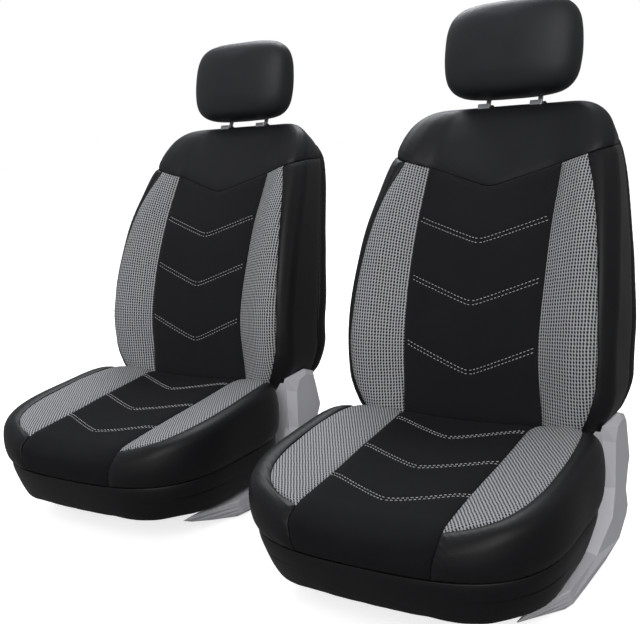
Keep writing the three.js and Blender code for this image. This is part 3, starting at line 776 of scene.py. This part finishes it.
def add(tree, kind, inputs=(), **settings):
    node = tree.nodes.new(kind)
    for name, value in settings.items():
        setattr(node, name, value)
    for name, value in dict(inputs).items():
        socket(tree, value, node.inputs[name])
    return node


def maths(tree, operation, a, b=0.0, clamp=False):
    node = add(tree, "ShaderNodeMath", {0: a, 1: b}, operation=operation)
    node.use_clamp = clamp
    return node.outputs[0]


def weighed(tree, *terms, clamp=False):
    """The sum of values, each times its weight."""
    total, *rest = [maths(tree, "MULTIPLY", value, weight) for value, weight in terms]
    for term in rest:
        total = maths(tree, "ADD", total, term, clamp=clamp and term is rest[-1])
    return total


def mix(tree, factor, a, b):
    node = add(tree, "ShaderNodeMix", {"Factor": factor}, data_type="RGBA")
    socket(tree, a, node.inputs["A"])
    socket(tree, b, node.inputs["B"])
    return node.outputs["Result"]


def new_material(name, roughness=0.5, metallic=0.0, specular=0.5):
    material = bpy.data.materials.new(name)
    material.use_nodes = True
    tree = material.node_tree
    shader = tree.nodes["Principled BSDF"]
    shader.inputs["Roughness"].default_value = roughness
    shader.inputs["Metallic"].default_value = metallic
    shader.inputs["Specular IOR Level"].default_value = specular
    return material, tree, shader


def object_space(tree, scale=1000.0, stretch=(1, 1, 1)):
    place_node = add(tree, "ShaderNodeTexCoord").outputs["Object"]
    mapped = add(tree, "ShaderNodeMapping", {"Vector": place_node})
    mapped.inputs["Scale"].default_value = [scale * s for s in stretch]
    return mapped.outputs["Vector"]


def noise(tree, where, scale, detail=2.0, roughness=0.5):
    inputs = {"Vector": where, "Scale": scale, "Detail": detail, "Roughness": roughness}
    return add(tree, "ShaderNodeTexNoise", inputs).outputs["Fac"]


def ranged(tree, value, low, high):
    node = add(tree, "ShaderNodeMapRange", {"Value": value, "To Min": low, "To Max": high})
    return node.outputs["Result"]


def bump(tree, shader, height, distance, strength=1.0):
    node = add(tree, "ShaderNodeBump", {"Height": height, "Strength": strength, "Distance": distance})
    tree.links.new(node.outputs["Normal"], shader.inputs["Normal"])


def leatherette(name, low, high):
    """Near-black cover: a pebbled grain of about a millimetre, and slow changes of shade and shine."""
    material, tree, shader = new_material(name, specular=0.28)
    where = object_space(tree)
    cells = add(tree, "ShaderNodeTexVoronoi", {"Vector": where, "Scale": 0.85}, feature="SMOOTH_F1")
    grain = cells.outputs["Distance"]
    fine = noise(tree, where, 2.6, 3)
    slow = noise(tree, where, 0.014, 3)
    shade = mix(tree, slow, low, high)
    pores = ranged(tree, grain, 0.86, 1.08)
    tint = add(tree, "ShaderNodeVectorMath", {0: shade}, operation="SCALE")
    socket(tree, pores, tint.inputs["Scale"])
    socket(tree, tint.outputs[0], shader.inputs["Base Color"])
    rough = weighed(tree, (ranged(tree, slow, 0.40, 0.50), 1), (fine, 0.06))
    socket(tree, rough, shader.inputs["Roughness"])
    bump(tree, shader, weighed(tree, (grain, 1), (fine, 0.35)), 0.00022, 0.55)
    return material


def plain_weave(name, low, high, pitch=0.9, sheen=0.08, specular=0.2):
    """A close plain weave: two crossed sets of threads, one over the other by turns."""
    material, tree, shader = new_material(name, roughness=0.9, specular=specular)
    shader.inputs["Sheen Weight"].default_value = sheen
    shader.inputs["Sheen Roughness"].default_value = 0.5
    where = object_space(tree)
    split = add(tree, "ShaderNodeSeparateXYZ", {"Vector": where})
    turn = math.pi / pitch
    across = maths(tree, "SINE", maths(tree, "MULTIPLY", split.outputs["X"], turn))
    rise = weighed(tree, (split.outputs["Z"], 0.82), (split.outputs["Y"], 0.57))
    along = maths(tree, "SINE", maths(tree, "MULTIPLY", rise, turn))
    threads = maths(tree, "MULTIPLY", across, along)
    slub = noise(tree, where, 0.5, 3)
    slow = noise(tree, where, 0.02, 2)
    level = weighed(tree, (threads, 0.28), (slub, 0.6), (slow, 0.35), clamp=True)
    socket(tree, mix(tree, level, low, high), shader.inputs["Base Color"])
    bump(tree, shader, maths(tree, "ADD", threads, slub), 0.0002, 0.5)
    return material


def spacer_mesh(name, pitch, eyelet, low, high):
    """Grey knitted mesh: rows and columns of dark eyelets, pitch and size in mm, between light loops. The
    loops carry painted shade and highlight: darker in the columns through the eyelets, lighter along the
    crests between them and along diagonal strands.
    """
    material, tree, shader = new_material(name, roughness=0.82, specular=0.25)
    shader.inputs["Sheen Weight"].default_value = 0.08
    plan = add(tree, "ShaderNodeAttribute", attribute_name="weave", attribute_type="GEOMETRY")
    weave = plan.outputs["Vector"]
    wander = add(tree, "ShaderNodeTexNoise", {"Vector": weave, "Scale": 0.06, "Detail": 1.0})
    middle = {0: wander.outputs["Color"], 1: (0.5, 0.5, 0.5)}
    sway = add(tree, "ShaderNodeVectorMath", middle, operation="SUBTRACT")
    drift = add(tree, "ShaderNodeVectorMath", {0: sway.outputs[0]}, operation="SCALE")
    drift.inputs["Scale"].default_value = 2.2
    moved = add(tree, "ShaderNodeVectorMath", {0: weave, 1: drift.outputs[0]}, operation="ADD").outputs[0]
    split = add(tree, "ShaderNodeSeparateXYZ", {"Vector": moved})
    along = maths(tree, "DIVIDE", split.outputs["Y"], pitch[1])
    v = maths(tree, "SUBTRACT", maths(tree, "FRACT", along), 0.5)
    across = weighed(tree, (split.outputs["X"], 1 / pitch[0]), (v, 0.16))
    u = maths(tree, "SUBTRACT", maths(tree, "FRACT", across), 0.5)
    wide, tall = (
        maths(tree, "POWER", maths(tree, "DIVIDE", maths(tree, "ABSOLUTE", at), size / step / 2), 2.0)
        for at, size, step in zip((u, v), eyelet, pitch))
    inside = {"Value": maths(tree, "ADD", wide, tall), "From Min": 0.5, "From Max": 1.4}
    solid = add(tree, "ShaderNodeMapRange", inside).outputs["Result"]
    # Painted shade and highlight: diagonal strand strokes and the rib crests between eyelet columns are
    # painted lighter, and the columns through the eyelets darker.
    ply = maths(tree, "SINE", weighed(tree, (along, 8 * math.pi), (u, 6.4 * math.pi)))
    strand_painted_highlight = maths(tree, "ADD", maths(tree, "MULTIPLY", ply, 0.5), 0.5)
    rib = maths(tree, "COSINE", maths(tree, "MULTIPLY", u, 2 * math.pi))
    crest_painted_light = maths(tree, "SUBTRACT", 0.5, maths(tree, "MULTIPLY", rib, 0.5))
    fuzz = noise(tree, weave, 1.4, 3)
    # The yarn's shade mixes these painted crest and strand highlights with random fuzz; it also drives the
    # relief.
    level = weighed(tree, (crest_painted_light, 0.42), (fuzz, 0.38), (strand_painted_highlight, 0.22), clamp=True)
    shade = mix(tree, solid, (0.012, 0.012, 0.014), mix(tree, level, low, high))
    socket(tree, shade, shader.inputs["Base Color"])
    relief = maths(tree, "ADD", 0.5, maths(tree, "MULTIPLY", level, 0.5))
    bump(tree, shader, maths(tree, "MULTIPLY", solid, relief), 0.0009, 0.8)
    return material


def thread(name, low, high):
    """Twisted sewing thread."""
    material, tree, shader = new_material(name, roughness=0.6, specular=0.4)
    where = object_space(tree)
    twist = {"Vector": where, "Scale": 0.9, "Distortion": 1.5}
    ply = add(tree, "ShaderNodeTexWave", twist, bands_direction="DIAGONAL")
    socket(tree, mix(tree, ply.outputs["Fac"], low, high), shader.inputs["Base Color"])
    bump(tree, shader, ply.outputs["Fac"], 0.0002, 0.6)
    return material


def moulded_plastic(name, low, high, roughness):
    """Moulded plastic with a fine spark-eroded grain and slightly uneven shine."""
    material, tree, shader = new_material(name, roughness=roughness, specular=0.4)
    where = object_space(tree)
    spots = noise(tree, where, 1.6, 4, 0.6)
    slow = noise(tree, where, 0.012, 2)
    level = weighed(tree, (slow, 0.7), (spots, 0.3))
    socket(tree, mix(tree, level, low, high), shader.inputs["Base Color"])
    socket(tree, ranged(tree, slow, roughness - 0.06, roughness + 0.06), shader.inputs["Roughness"])
    bump(tree, shader, spots, 0.00025, 0.35)
    return material


def painted_steel(low, high):
    """Black paint with a slight orange peel and some dust."""
    material, tree, shader = new_material("painted_steel", roughness=0.42, specular=0.5)
    where = object_space(tree)
    peel = noise(tree, where, 0.35, 2)
    dust = noise(tree, where, 0.03, 4)
    socket(tree, mix(tree, dust, low, high), shader.inputs["Base Color"])
    socket(tree, ranged(tree, dust, 0.34, 0.55), shader.inputs["Roughness"])
    bump(tree, shader, peel, 0.0003, 0.3)
    return material


def metal(name, bright, roughness, uneven, grain, metallic):
    """Plated or brushed metal with fine streaks, drawn out along the axis where grain is small."""
    material, tree, shader = new_material(name, roughness=roughness, metallic=metallic)
    where = object_space(tree, stretch=grain)
    lines = noise(tree, where, 1.5, 4, 0.7)
    dark = [0.82 * share for share in bright]
    socket(tree, mix(tree, lines, dark, bright), shader.inputs["Base Color"])
    socket(tree, ranged(tree, lines, roughness - uneven, roughness + uneven), shader.inputs["Roughness"])
    bump(tree, shader, lines, 0.0001, 0.25)
    return material


def make_materials():
    return {
        "cover": leatherette(
            "leatherette", (0.0065, 0.0067, 0.0077), (0.0112, 0.0115, 0.013)),
        # Painted light: a lighter copy of the cover leatherette for the headrest, standing in for the light
        # its top and face catch.
        "headrest": leatherette(
            "headrest_painted_light_leatherette", (0.024, 0.0252, 0.0288), (0.033, 0.0345, 0.039)),
        # Painted light: a lighter copy of the cover leatherette for the yoke, standing in for the light its
        # up-facing panel catches.
        "yoke": leatherette(
            "yoke_painted_light_leatherette", (0.0125, 0.013, 0.0148), (0.0185, 0.0192, 0.0218)),
        "centre": plain_weave(
            "centre_cloth", (0.0065, 0.0068, 0.0082), (0.016, 0.0164, 0.0188)),
        "cushion": plain_weave(
            "cushion_cloth", (0.0058, 0.006, 0.0072), (0.0148, 0.0152, 0.0176),
            sheen=0.02, specular=0.12),
        "mesh": spacer_mesh(
            "spacer_mesh", (5.3, 6.4), (3.6, 4.8), (0.15, 0.153, 0.162), (0.69, 0.695, 0.72)),
        "ribbed": spacer_mesh(
            "ribbed_mesh", (5.0, 5.2), (2.6, 4.2), (0.13, 0.133, 0.141), (0.64, 0.645, 0.67)),
        "pad": plain_weave(
            "seat_trim", (0.03, 0.03, 0.033), (0.07, 0.07, 0.075), pitch=1.3),
        "elastic": plain_weave(
            "elastic", (0.008, 0.008, 0.009), (0.03, 0.03, 0.033), pitch=1.6),
        "stitch": thread("stitch_thread", (0.34, 0.34, 0.36), (0.62, 0.62, 0.64)),
        "dark_stitch": thread("strap_thread", (0.02, 0.02, 0.022), (0.05, 0.05, 0.055)),
        "shield": moulded_plastic(
            "shield_plastic", (0.6, 0.6, 0.63), (0.68, 0.68, 0.71), roughness=0.5),
        "collar": moulded_plastic(
            "collar_plastic", (0.006, 0.006, 0.007), (0.012, 0.012, 0.014), roughness=0.4),
        "steel": painted_steel((0.018, 0.019, 0.021), (0.045, 0.046, 0.048)),
        "chrome": metal(
            "chrome", (0.86, 0.87, 0.89), roughness=0.26, uneven=0.06,
            grain=(1, 1, 0.08), metallic=0.5),
        "silver": metal(
            "brushed_aluminium", (0.55, 0.56, 0.59), roughness=0.36, uneven=0.1,
            grain=(0.06, 1, 1), metallic=0.72),
    }


# ---------------------------------------------------------------- stitching
STITCH_LENGTH = 4.8
STITCH_PERIOD = 7.6
STITCH_RADIUS = 0.85
ROW_APART = 7.4


def capsule_mesh(starts, ends, normals, radius):
    """Every stitch of a row: a short rod with rounded ends, half sunk in the cloth."""
    sides = 8
    profile = [(0, 0.0), (0.06, 0.62), (0.18, 0.95), (0.5, 1.0), (0.82, 0.95), (0.94, 0.62), (1, 0.0)]
    points, faces = [], []
    for start, end, normal in zip(starts, ends, normals):
        along = end - start
        direction = along / np.linalg.norm(along)
        across = np.cross(direction, normal)
        across /= np.linalg.norm(across)
        up = np.cross(across, direction)
        first = len(points)
        for share, size in profile:
            centre = start + along * share + up * radius * 0.45 * size
            for i in range(sides):
                turn = 2 * math.pi * i / sides
                round_about = across * math.cos(turn) + up * math.sin(turn)
                points.append(centre + round_about * radius * max(size, 0.05))
        faces += ring_faces(len(profile), sides, first)
    return points, faces


def walk(line, normals, period, length, start=1.5):
    """Places of the stitches along a line on a surface."""
    run = run_along(line)
    at = np.arange(start, run[-1] - length, period)
    middle = looked_up(at + length / 2, run, normals)
    return looked_up(at, run, line), looked_up(at + length, run, line), middle


def chevron_rows(surface, chevrons, half_width):
    """Start, end and normal of each stitch of the double V rows on a surface(x, second)."""
    found = []
    for end, apex in chevrons:
        for shift in (-ROW_APART / 2, ROW_APART / 2):
            for side in (-1, 1):
                x = side * np.linspace(1.2, half_width - 3, 200)
                second = chevron(x, end, apex, half_width) + shift
                line, normals = surface(x, second)
                found.append(walk(line, normals, STITCH_PERIOD, STITCH_LENGTH))
    return [np.concatenate(part) for part in zip(*found)]


def panel_sampler(points, normals, second):
    """Looks up a panel's own surface by x and a second coordinate, y or z."""
    def sample(x, y):
        out, out_normals = [], []
        for a, b in zip(x, y):
            far = (points[..., 0] - a) ** 2 + (points[..., second] - b) ** 2
            r, c = np.unravel_index(np.argmin(far), far.shape)
            near = points[max(r - 1, 0):r + 2, max(c - 1, 0):c + 2].reshape(-1, 3)
            weight = 1 / ((near[:, 0] - a) ** 2 + (near[:, second] - b) ** 2 + 0.5)
            place_there = np.sum(weight[:, None] * near, axis=0) / np.sum(weight)
            place_there[0], place_there[second] = a, b
            out.append(place_there)
            out_normals.append(normals[r, c])
        return np.array(out), np.array(out_normals)
    return sample


def stitching(seat, name, laid_out, second, chevrons, half_width, finishes):
    """The double V rows of a centre panel, laid on the panel's own surface."""
    part = name.split("_")[0]
    points = outward(*laid_out, part)
    sample = panel_sampler(points, panel_normals(points, part), second)
    starts, ends, normals = chevron_rows(sample, chevrons, half_width)
    rods, faces = capsule_mesh(starts, ends, normals, STITCH_RADIUS)
    piece = mesh_object(f"{seat}_{name}", place(seat, rods), faces)
    shade_smooth(piece)
    dress(piece, body_of(seat, part), finishes["stitch"])


# ---------------------------------------------------------------- pieces of a seat
def cushion_cover(seat, finishes):
    centre = cushion_centre()
    panel(seat, "cushion_cover_centre", centre, finishes["cushion"])
    stitching(seat, "cushion_stitching", centre, 1, CUSHION_CHEVRONS, CUSHION_CHEVRON_X, finishes)
    for name, side in SIDES.items():
        panel(seat, f"cushion_cover_wing_{name}", cushion_wing(side), finishes["ribbed"])
        panel(seat, f"cushion_cover_bolster_{name}", cushion_bolster(side), finishes["cover"])
    panel(seat, "cushion_cover_skirt", skirt(), finishes["cover"])


def backrest_cover(seat, finishes):
    centre = back_centre()
    panel(seat, "backrest_cover_centre", centre, finishes["centre"])
    stitching(seat, "backrest_stitching", centre, 2, BACK_CHEVRONS, BACK_CHEVRON_X, finishes)
    for name, side in SIDES.items():
        panel(seat, f"backrest_cover_wing_{name}", back_wing(side), finishes["mesh"])
        panel(seat, f"backrest_cover_gusset_{name}", back_gusset(side), finishes["cover"])
    panel(seat, "backrest_cover_rear", back_rear(), finishes["cover"])
    yoke_cover(seat, finishes)


def yoke_cover(seat, finishes):
    front, front_far, cap, cap_far = back_yoke()
    front_off = crowned(front_far, puff=2.6) + ripples(front, front_far, 0.2, 0.3)
    cap_off = crowned(cap_far, puff=2.6) + ripples(cap, cap_far, 0.2, 0.3)
    front = outward(front, front_off, "backrest")
    cap = outward(cap, cap_off, "backrest")
    cap[0, :front.shape[1]] = front[-1]
    cap[0, -1] = cap[0, 0]
    cap[:, -1] = cap[:, 0]
    rows, columns = front.shape[:2]
    faces = grid_faces(rows, columns) + grid_faces(*cap.shape[:2], rows * columns)
    points = np.concatenate([front.reshape(-1, 3), cap.reshape(-1, 3)])
    piece = mesh_object(f"{seat}_backrest_cover_yoke", place(seat, points), faces)
    tidy(piece, place(seat, INSIDE["backrest"]), weld=4e-5)
    open_for_guides(piece, seat)
    thicken(piece)
    # The yoke takes the lighter leatherette copy, which is painted light.
    dress(piece, body_of(seat, "backrest"), finishes["yoke"])


def open_for_guides(piece, seat, half_width=14.0, half_depth=11.0):
    """Cuts the cloth where the post guides come through."""
    made = bmesh.new()
    made.from_mesh(piece.data)
    centres = np.array([f.calc_center_median() for f in made.faces])
    local = to_post_axes((centres - seat_origin(seat)) / MM)
    inside = (np.abs(np.abs(local[:, 0]) - POST_X) < half_width) & (np.abs(local[:, 1]) < half_depth)
    inside &= (local[:, 2] > -75) & (local[:, 2] < 40)
    gone = [f for f, cut in zip(made.faces, inside) if cut]
    bmesh.ops.delete(made, geom=gone, context="FACES")
    made.to_mesh(piece.data)
    made.free()


def headrest(seat, finishes):
    turn = np.linspace(0, 2 * math.pi, 193)[None, :-1]
    share = np.concatenate([[LOWEST], eased(90, 0.8), [HIGHEST]])[:, None]
    inside = place(seat, INSIDE["headrest"])
    # The headrest cover takes the lighter leatherette copy, which is painted light.
    for name, inset, finish, node in (("cover_cloth", 0, "headrest", "cover"), ("pad", 8, "pad", "core")):
        base = headrest_at(turn + 0 * share, share + 0 * turn)
        base = base - ring_normals(base, base.mean((0, 1))) * inset
        faces = ring_faces(*base.shape[:2])
        piece = mesh_object(f"{seat}_headrest_{name}", place(seat, to_seat(base)), faces)
        tidy(piece, inside)
        if name == "cover_cloth":
            swell(piece)
            headrest_seam(piece, seat)
        dress(piece, body_of(seat, "headrest"), finishes[finish])
        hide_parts(f"{seat}_headrest_{node}")


def swell(piece, voxel=5.0, pressure=4.0, cap=3.0, frames=20):
    """Lets a stuffed cover swell as cloth, and caps how far each point of it may rise."""
    scene = bpy.context.scene
    remesh = piece.modifiers.new("even", "REMESH")
    remesh.mode = "VOXEL"
    remesh.voxel_size = voxel * MM
    start = settle(piece)
    normals = np.array([v.normal for v in piece.data.vertices])
    cloth = piece.modifiers.new("stuffed", "CLOTH")
    cloth.settings.use_pressure = True
    cloth.settings.uniform_pressure_force = pressure
    cloth.settings.effector_weights.gravity = 0
    cloth.settings.tension_stiffness = cloth.settings.compression_stiffness = 25
    cloth.point_cache.frame_end = frames
    for frame_number in range(1, frames + 1):
        scene.frame_set(frame_number)
    end = settle(piece)
    scene.frame_set(1)
    rise = np.clip(np.sum((end - start) * normals, axis=1), 0, cap * MM)
    piece.data.vertices.foreach_set("co", (start + normals * rise[:, None]).ravel())
    smooth = piece.modifiers.new("smooth", "SMOOTH")
    smooth.factor = 0.5
    smooth.iterations = 30
    rounded = piece.modifiers.new("rounded", "SUBSURF")
    rounded.levels = rounded.render_levels = 1
    settle(piece)
    shade_smooth(piece)


def settle(piece):
    """Applies every modifier of a piece and gives back where its points lie."""
    bpy.context.view_layer.update()
    made = bpy.data.meshes.new_from_object(piece.evaluated_get(bpy.context.evaluated_depsgraph_get()))
    piece.modifiers.clear()
    piece.data = made
    points = np.empty(3 * len(made.vertices))
    made.vertices.foreach_get("co", points)
    return points.reshape(-1, 3)


HEADREST_SEAM_Y = 26.0  # in the headrest's own tilted axes, before its shift ahead
HEADREST_SEAM_DIP = 2.2
HEADREST_SEAM_REACH = 2.6
SEAM_LOOPS = (-9, -5, -2.5, -1, 0, 1, 2.5, 5, 9)  # distances of the edge loops from the seam


def to_own_axes(points):
    """From the seat's frame to the headrest's own axes."""
    return turned(to_post_axes(points) + AHEAD, -HEADREST_TILT)


def from_own_axes(points):
    return to_seat(turned(points, HEADREST_TILT) - AHEAD)


def headrest_seam(piece, seat):
    """Cuts edge loops beside the side seam of the headrest cover, and pulls the seam in."""
    made = bmesh.new()
    made.from_mesh(piece.data)
    rearward = Vector(turned(np.array([0, 1.0, 0]), POST_LEAN + HEADREST_TILT))
    for shift in SEAM_LOOPS:
        at = from_own_axes(np.array([0, HEADREST_SEAM_Y + shift, HEADREST["height"] / 2]))
        bmesh.ops.bisect_plane(
            made, geom=made.verts[:] + made.edges[:] + made.faces[:], dist=1e-6,
            plane_co=Vector(place(seat, at)), plane_no=rearward,
        )
    made.normal_update()
    points = np.array([v.co for v in made.verts])
    far = np.abs(to_own_axes((points - seat_origin(seat)) / MM)[:, 1] - HEADREST_SEAM_Y)
    pull = HEADREST_SEAM_DIP * np.exp(-(far / HEADREST_SEAM_REACH) ** 1.2) * MM
    for vertex, amount in zip(made.verts, pull):
        vertex.co -= vertex.normal * amount
    for face in made.faces:
        face.smooth = True
    made.to_mesh(piece.data)
    made.free()


NOTCH_DEPTH = 0.9
NOTCH_LENGTH = 3.2
NOTCH_PITCH = 20
NOTCH_FIRST, NOTCH_LAST = -150, -30  # height of a notch's foot, and the height that none is above


def headrest_posts(seat, finishes):
    """Two posts and the bar that joins them inside the headrest: one bent rod with height notches."""
    top, bend, steps = 96, 22, 10
    line = [(-POST_X, -POST_REACH)]
    line += [(-POST_X, z) for z in np.linspace(-POST_REACH + 4, top - bend - 6, 70)]
    quarter = np.linspace(0, math.pi / 2, steps)
    line += [(-POST_X + bend * (1 - math.cos(a)), top - bend * (1 - math.sin(a))) for a in quarter]
    line += [(-x, z) for x, z in line[::-1]]
    line = np.array(line)
    sides = 24
    points = []
    for i, (x, z) in enumerate(line):
        before, after = line[max(i - 1, 0)], line[min(i + 1, len(line) - 1)]
        direction = (after - before) / np.linalg.norm(after - before)
        out = np.array([direction[1], -direction[0]])
        notched = x > 0 and z < NOTCH_LAST and (z - NOTCH_FIRST) % NOTCH_PITCH < NOTCH_LENGTH
        notch = NOTCH_DEPTH if notched else 0.0
        end = 0.7 if i in (0, len(line) - 1) else 1.0
        for k in range(sides):
            turn = 2 * math.pi * k / sides
            radius = POST_RADIUS * end - (notch if math.cos(turn) > 0.3 else 0)
            aside = radius * math.cos(turn)
            points.append((x + out[0] * aside, radius * math.sin(turn), z + out[1] * aside))
    faces = ring_faces(len(line), sides)
    piece = mesh_object(f"{seat}_posts", place(seat, to_seat(np.array(points))), faces)
    tidy(piece, place(seat, to_seat(np.array([0, 0, 20.0]))))
    bpy.context.view_layer.update()
    dress(piece, f"{seat}_headrest", finishes["chrome"])
    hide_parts(f"{seat}_headrest_posts")


def ring_normals(base, inside):
    """Outward normals of a surface whose columns close on themselves."""
    around = np.roll(base, -1, axis=1) - np.roll(base, 1, axis=1)
    normal = np.cross(around, np.gradient(base, axis=0))
    normal /= np.maximum(np.linalg.norm(normal, axis=2, keepdims=True), 1e-9)
    return facing_out(normal, base, inside)


PAD_INSET = 7.0  # of the pads below the surface that the covers are laid out on


def cushion_pad(seat, finishes):
    """The seat's own upholstered cushion inside the cover."""
    size = np.concatenate([np.linspace(UNFOLDED, 0.9, 16), np.linspace(0.85, 0.04, 14)])[:, None]
    turn = np.linspace(0, 2 * math.pi, 97)[None, :-1]
    base = cushion_at(*plan_line(turn, size))
    rings = base - ring_normals(base, INSIDE["cushion"]) * PAD_INSET
    piece = mesh_object(f"{seat}_cushion_pad", place(seat, rings), ring_faces(*rings.shape[:2]))
    tidy(piece, place(seat, INSIDE["cushion"]))
    dress(piece, BASE, finishes["pad"])
    prefix = f"{seat}_cushion"
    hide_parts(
        f"{prefix}_foam", f"{prefix}_centre_panel", f"{prefix}_skirt",
        *[f"{prefix}_{kind}_{name}" for kind in ("mesh_panel", "bolster") for name in SIDES],
    )


def backrest_pad(seat, finishes):
    """The seat's own upholstered backrest inside the cover, a skin left open for the post guides."""
    along = (eased(70, 0.6) * TOP)[:, None]
    run = np.linspace(-HALF_ROUND, HALF_ROUND, 121)[None, :-1]
    base = backrest_at(run + 0 * along, along + 0 * run)
    normal = ring_normals(base, INSIDE["backrest"])
    fade = smoothstep(TOP - along, 0, 30) * smoothstep(along, 0, 10)
    rings = base - normal * (PAD_INSET * np.maximum(fade, 0.25))[..., None]
    rings = rings[:-3]
    piece = mesh_object(f"{seat}_backrest_pad", place(seat, rings), ring_faces(*rings.shape[:2]))
    tidy(piece, place(seat, INSIDE["backrest"]))
    open_for_guides(piece, seat, 15.0, 12.0)
    dress(piece, f"{seat}_backrest", finishes["pad"])
    prefix = f"{seat}_backrest"
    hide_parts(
        f"{prefix}_foam",
        *[f"{prefix}_{kind}_panel" for kind in ("yoke", "centre", "rear")],
        *[f"{prefix}_{kind}_{name}" for kind in ("mesh_panel", "gusset") for name in SIDES],
    )


# Finish and rounding of the CAD nodes that stay. Those in the second table come in pairs.
HARD_NODES = {"base_frame": ("steel", 1.2), "seat_pan": ("steel", 1.5), "recliner_tube": ("steel", 0.8)}
PAIRED_NODES = {
    "recliner_bracket": ("steel", 0.8), "side_shield": ("shield", 2.0),
    "guide_collar": ("collar", 2.2), "lock_button": ("silver", 1.1),
}
for kind, treatment in PAIRED_NODES.items():
    HARD_NODES.update({f"{kind}_{name}": treatment for name in SIDES})

STRAP_CLOTH = 1.3
STRAP_FOLD = 24  # length turned back and sewn at each end
STRAP_TURN = 1.2  # radius of the fold
STRAP_SAG = 1.2
STRAP_CORDS = 9  # lengthwise cords of the weave
STRAP_STITCH = {"length": 2.9, "period": 4.2, "radius": 0.5, "from_end": (6, STRAP_FOLD - 4)}


def strap_grid(half_length, half_width, fold=STRAP_TURN):
    """The elastic under the pan: one strip whose two ends are turned back over themselves."""
    curl = np.linspace(0, math.pi, 9)[1:-1]
    back = np.linspace(half_length - STRAP_FOLD, half_length - fold, 12)
    end_x = half_length - fold + fold * np.sin(curl)
    end_z = fold * np.cos(curl)
    run = np.linspace(-half_length + fold, half_length - fold, 140)
    x = np.concatenate([-back, -end_x, run, end_x[::-1], back[::-1]])
    z = np.concatenate([0 * back + fold, end_z, 0 * run - fold, end_z[::-1], 0 * back + fold])
    x, z = x[:, None], (z - STRAP_SAG * (1 - (x / half_length) ** 2))[:, None]
    across = np.linspace(-1, 1, 8 * STRAP_CORDS + 1)[None, :]
    neck = 1 - 0.07 * (1 - np.abs(x / half_length) ** 6)
    cords = 0.11 * np.cos(across * math.pi * STRAP_CORDS)
    return np.stack([x + 0 * across, across * half_width * neck, z + cords], axis=-1)


def under_strap(seat, finishes):
    """Woven elastic that pulls the two sides of the skirt together, sewn back on itself at both ends."""
    low, high = (np.array(corner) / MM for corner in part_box(f"{seat}_under_strap"))
    half_length, half_width, _ = (high - low) / 2
    middle = (high + low) / 2
    grid = strap_grid(half_length, half_width) + middle
    piece = mesh_object(f"{seat}_strap_elastic", grid * MM, grid_faces(*grid.shape[:2]))
    shade_smooth(piece)
    thicken(piece, STRAP_CLOTH).modifiers["cloth"].offset = 0
    dress(piece, BASE, finishes["elastic"])
    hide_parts(f"{seat}_under_strap")
    starts, ends = [], []
    for side in (-1, 1):
        for in_from_end in STRAP_STITCH["from_end"]:
            for y in np.arange(-half_width + 2.5, half_width - 4, STRAP_STITCH["period"]):
                below = -STRAP_TURN - STRAP_CLOTH / 2 - 0.1
                at = middle + np.array([side * (half_length - in_from_end), y, below])
                starts.append(at)
                ends.append(at + np.array([0, STRAP_STITCH["length"], 0]))
    down = [np.array([0, 0, -1.0])] * len(starts)
    rods, faces = capsule_mesh(starts, ends, down, STRAP_STITCH["radius"])
    stitches = mesh_object(f"{seat}_strap_stitching", np.array(rods) * MM, faces)
    shade_smooth(stitches)
    dress(stitches, BASE, finishes["dark_stitch"])


def hard_parts(seat, finishes):
    """CAD nodes that stay: each gets its finish, and its sharp edges are eased."""
    for name, (finish, radius) in HARD_NODES.items():
        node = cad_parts[f"{seat}_{name}"]
        node.data.materials.clear()
        node.data.materials.append(finishes[finish])
        weld = node.modifiers.new("weld", "WELD")
        weld.merge_threshold = 1e-5
        bevel = node.modifiers.new("eased_edges", "BEVEL")
        bevel.width = radius * MM
        bevel.segments = 3
        bevel.limit_method = "ANGLE"
        bevel.angle_limit = math.radians(18)
        bevel.use_clamp_overlap = True
        bevel.harden_normals = False
        for polygon in node.data.polygons:
            polygon.use_smooth = False


def make_floor():
    """A pale floor and a white dome beyond it, neither of which shows in the covers' shine."""
    material, tree, shader = new_material("pale_floor", roughness=0.8, specular=0.1)
    where = object_space(tree, 1.0)
    shade = noise(tree, where, 3.0, 3)
    pale = mix(tree, shade, (0.88, 0.882, 0.885), (0.91, 0.91, 0.912))
    socket(tree, pale, shader.inputs["Base Color"])
    socket(tree, (1, 1, 1), shader.inputs["Emission Color"])
    shader.inputs["Emission Strength"].default_value = FLOOR_GLOW
    bpy.ops.mesh.primitive_plane_add(size=80, location=(0, 0, 0))
    floor = bpy.context.object
    floor.name = "floor"
    floor.data.materials.append(material)
    white, tree, glow = new_material("white_backdrop", roughness=1.0, specular=0.0)
    socket(tree, (0, 0, 0), glow.inputs["Base Color"])
    socket(tree, (1, 1, 1), glow.inputs["Emission Color"])
    glow.inputs["Emission Strength"].default_value = 1.0
    bpy.ops.mesh.primitive_cylinder_add(vertices=64, radius=38, depth=80, location=(0, 0, 0))
    dome = bpy.context.object
    dome.name = "backdrop"
    dome.data.materials.append(white)
    for thing in (floor, dome):
        thing.visible_glossy = False
        thing.visible_diffuse = False
    dome.visible_shadow = False


def make_seat(seat, finishes):
    cushion_pad(seat, finishes)
    cushion_cover(seat, finishes)
    backrest_pad(seat, finishes)
    backrest_cover(seat, finishes)
    headrest(seat, finishes)
    hard_parts(seat, finishes)
    under_strap(seat, finishes)
    headrest_posts(seat, finishes)


def main():
    make_camera()
    make_studio()
    make_floor()
    finishes = make_materials()
    for seat in SEATS:
        make_seat(seat, finishes)


main()
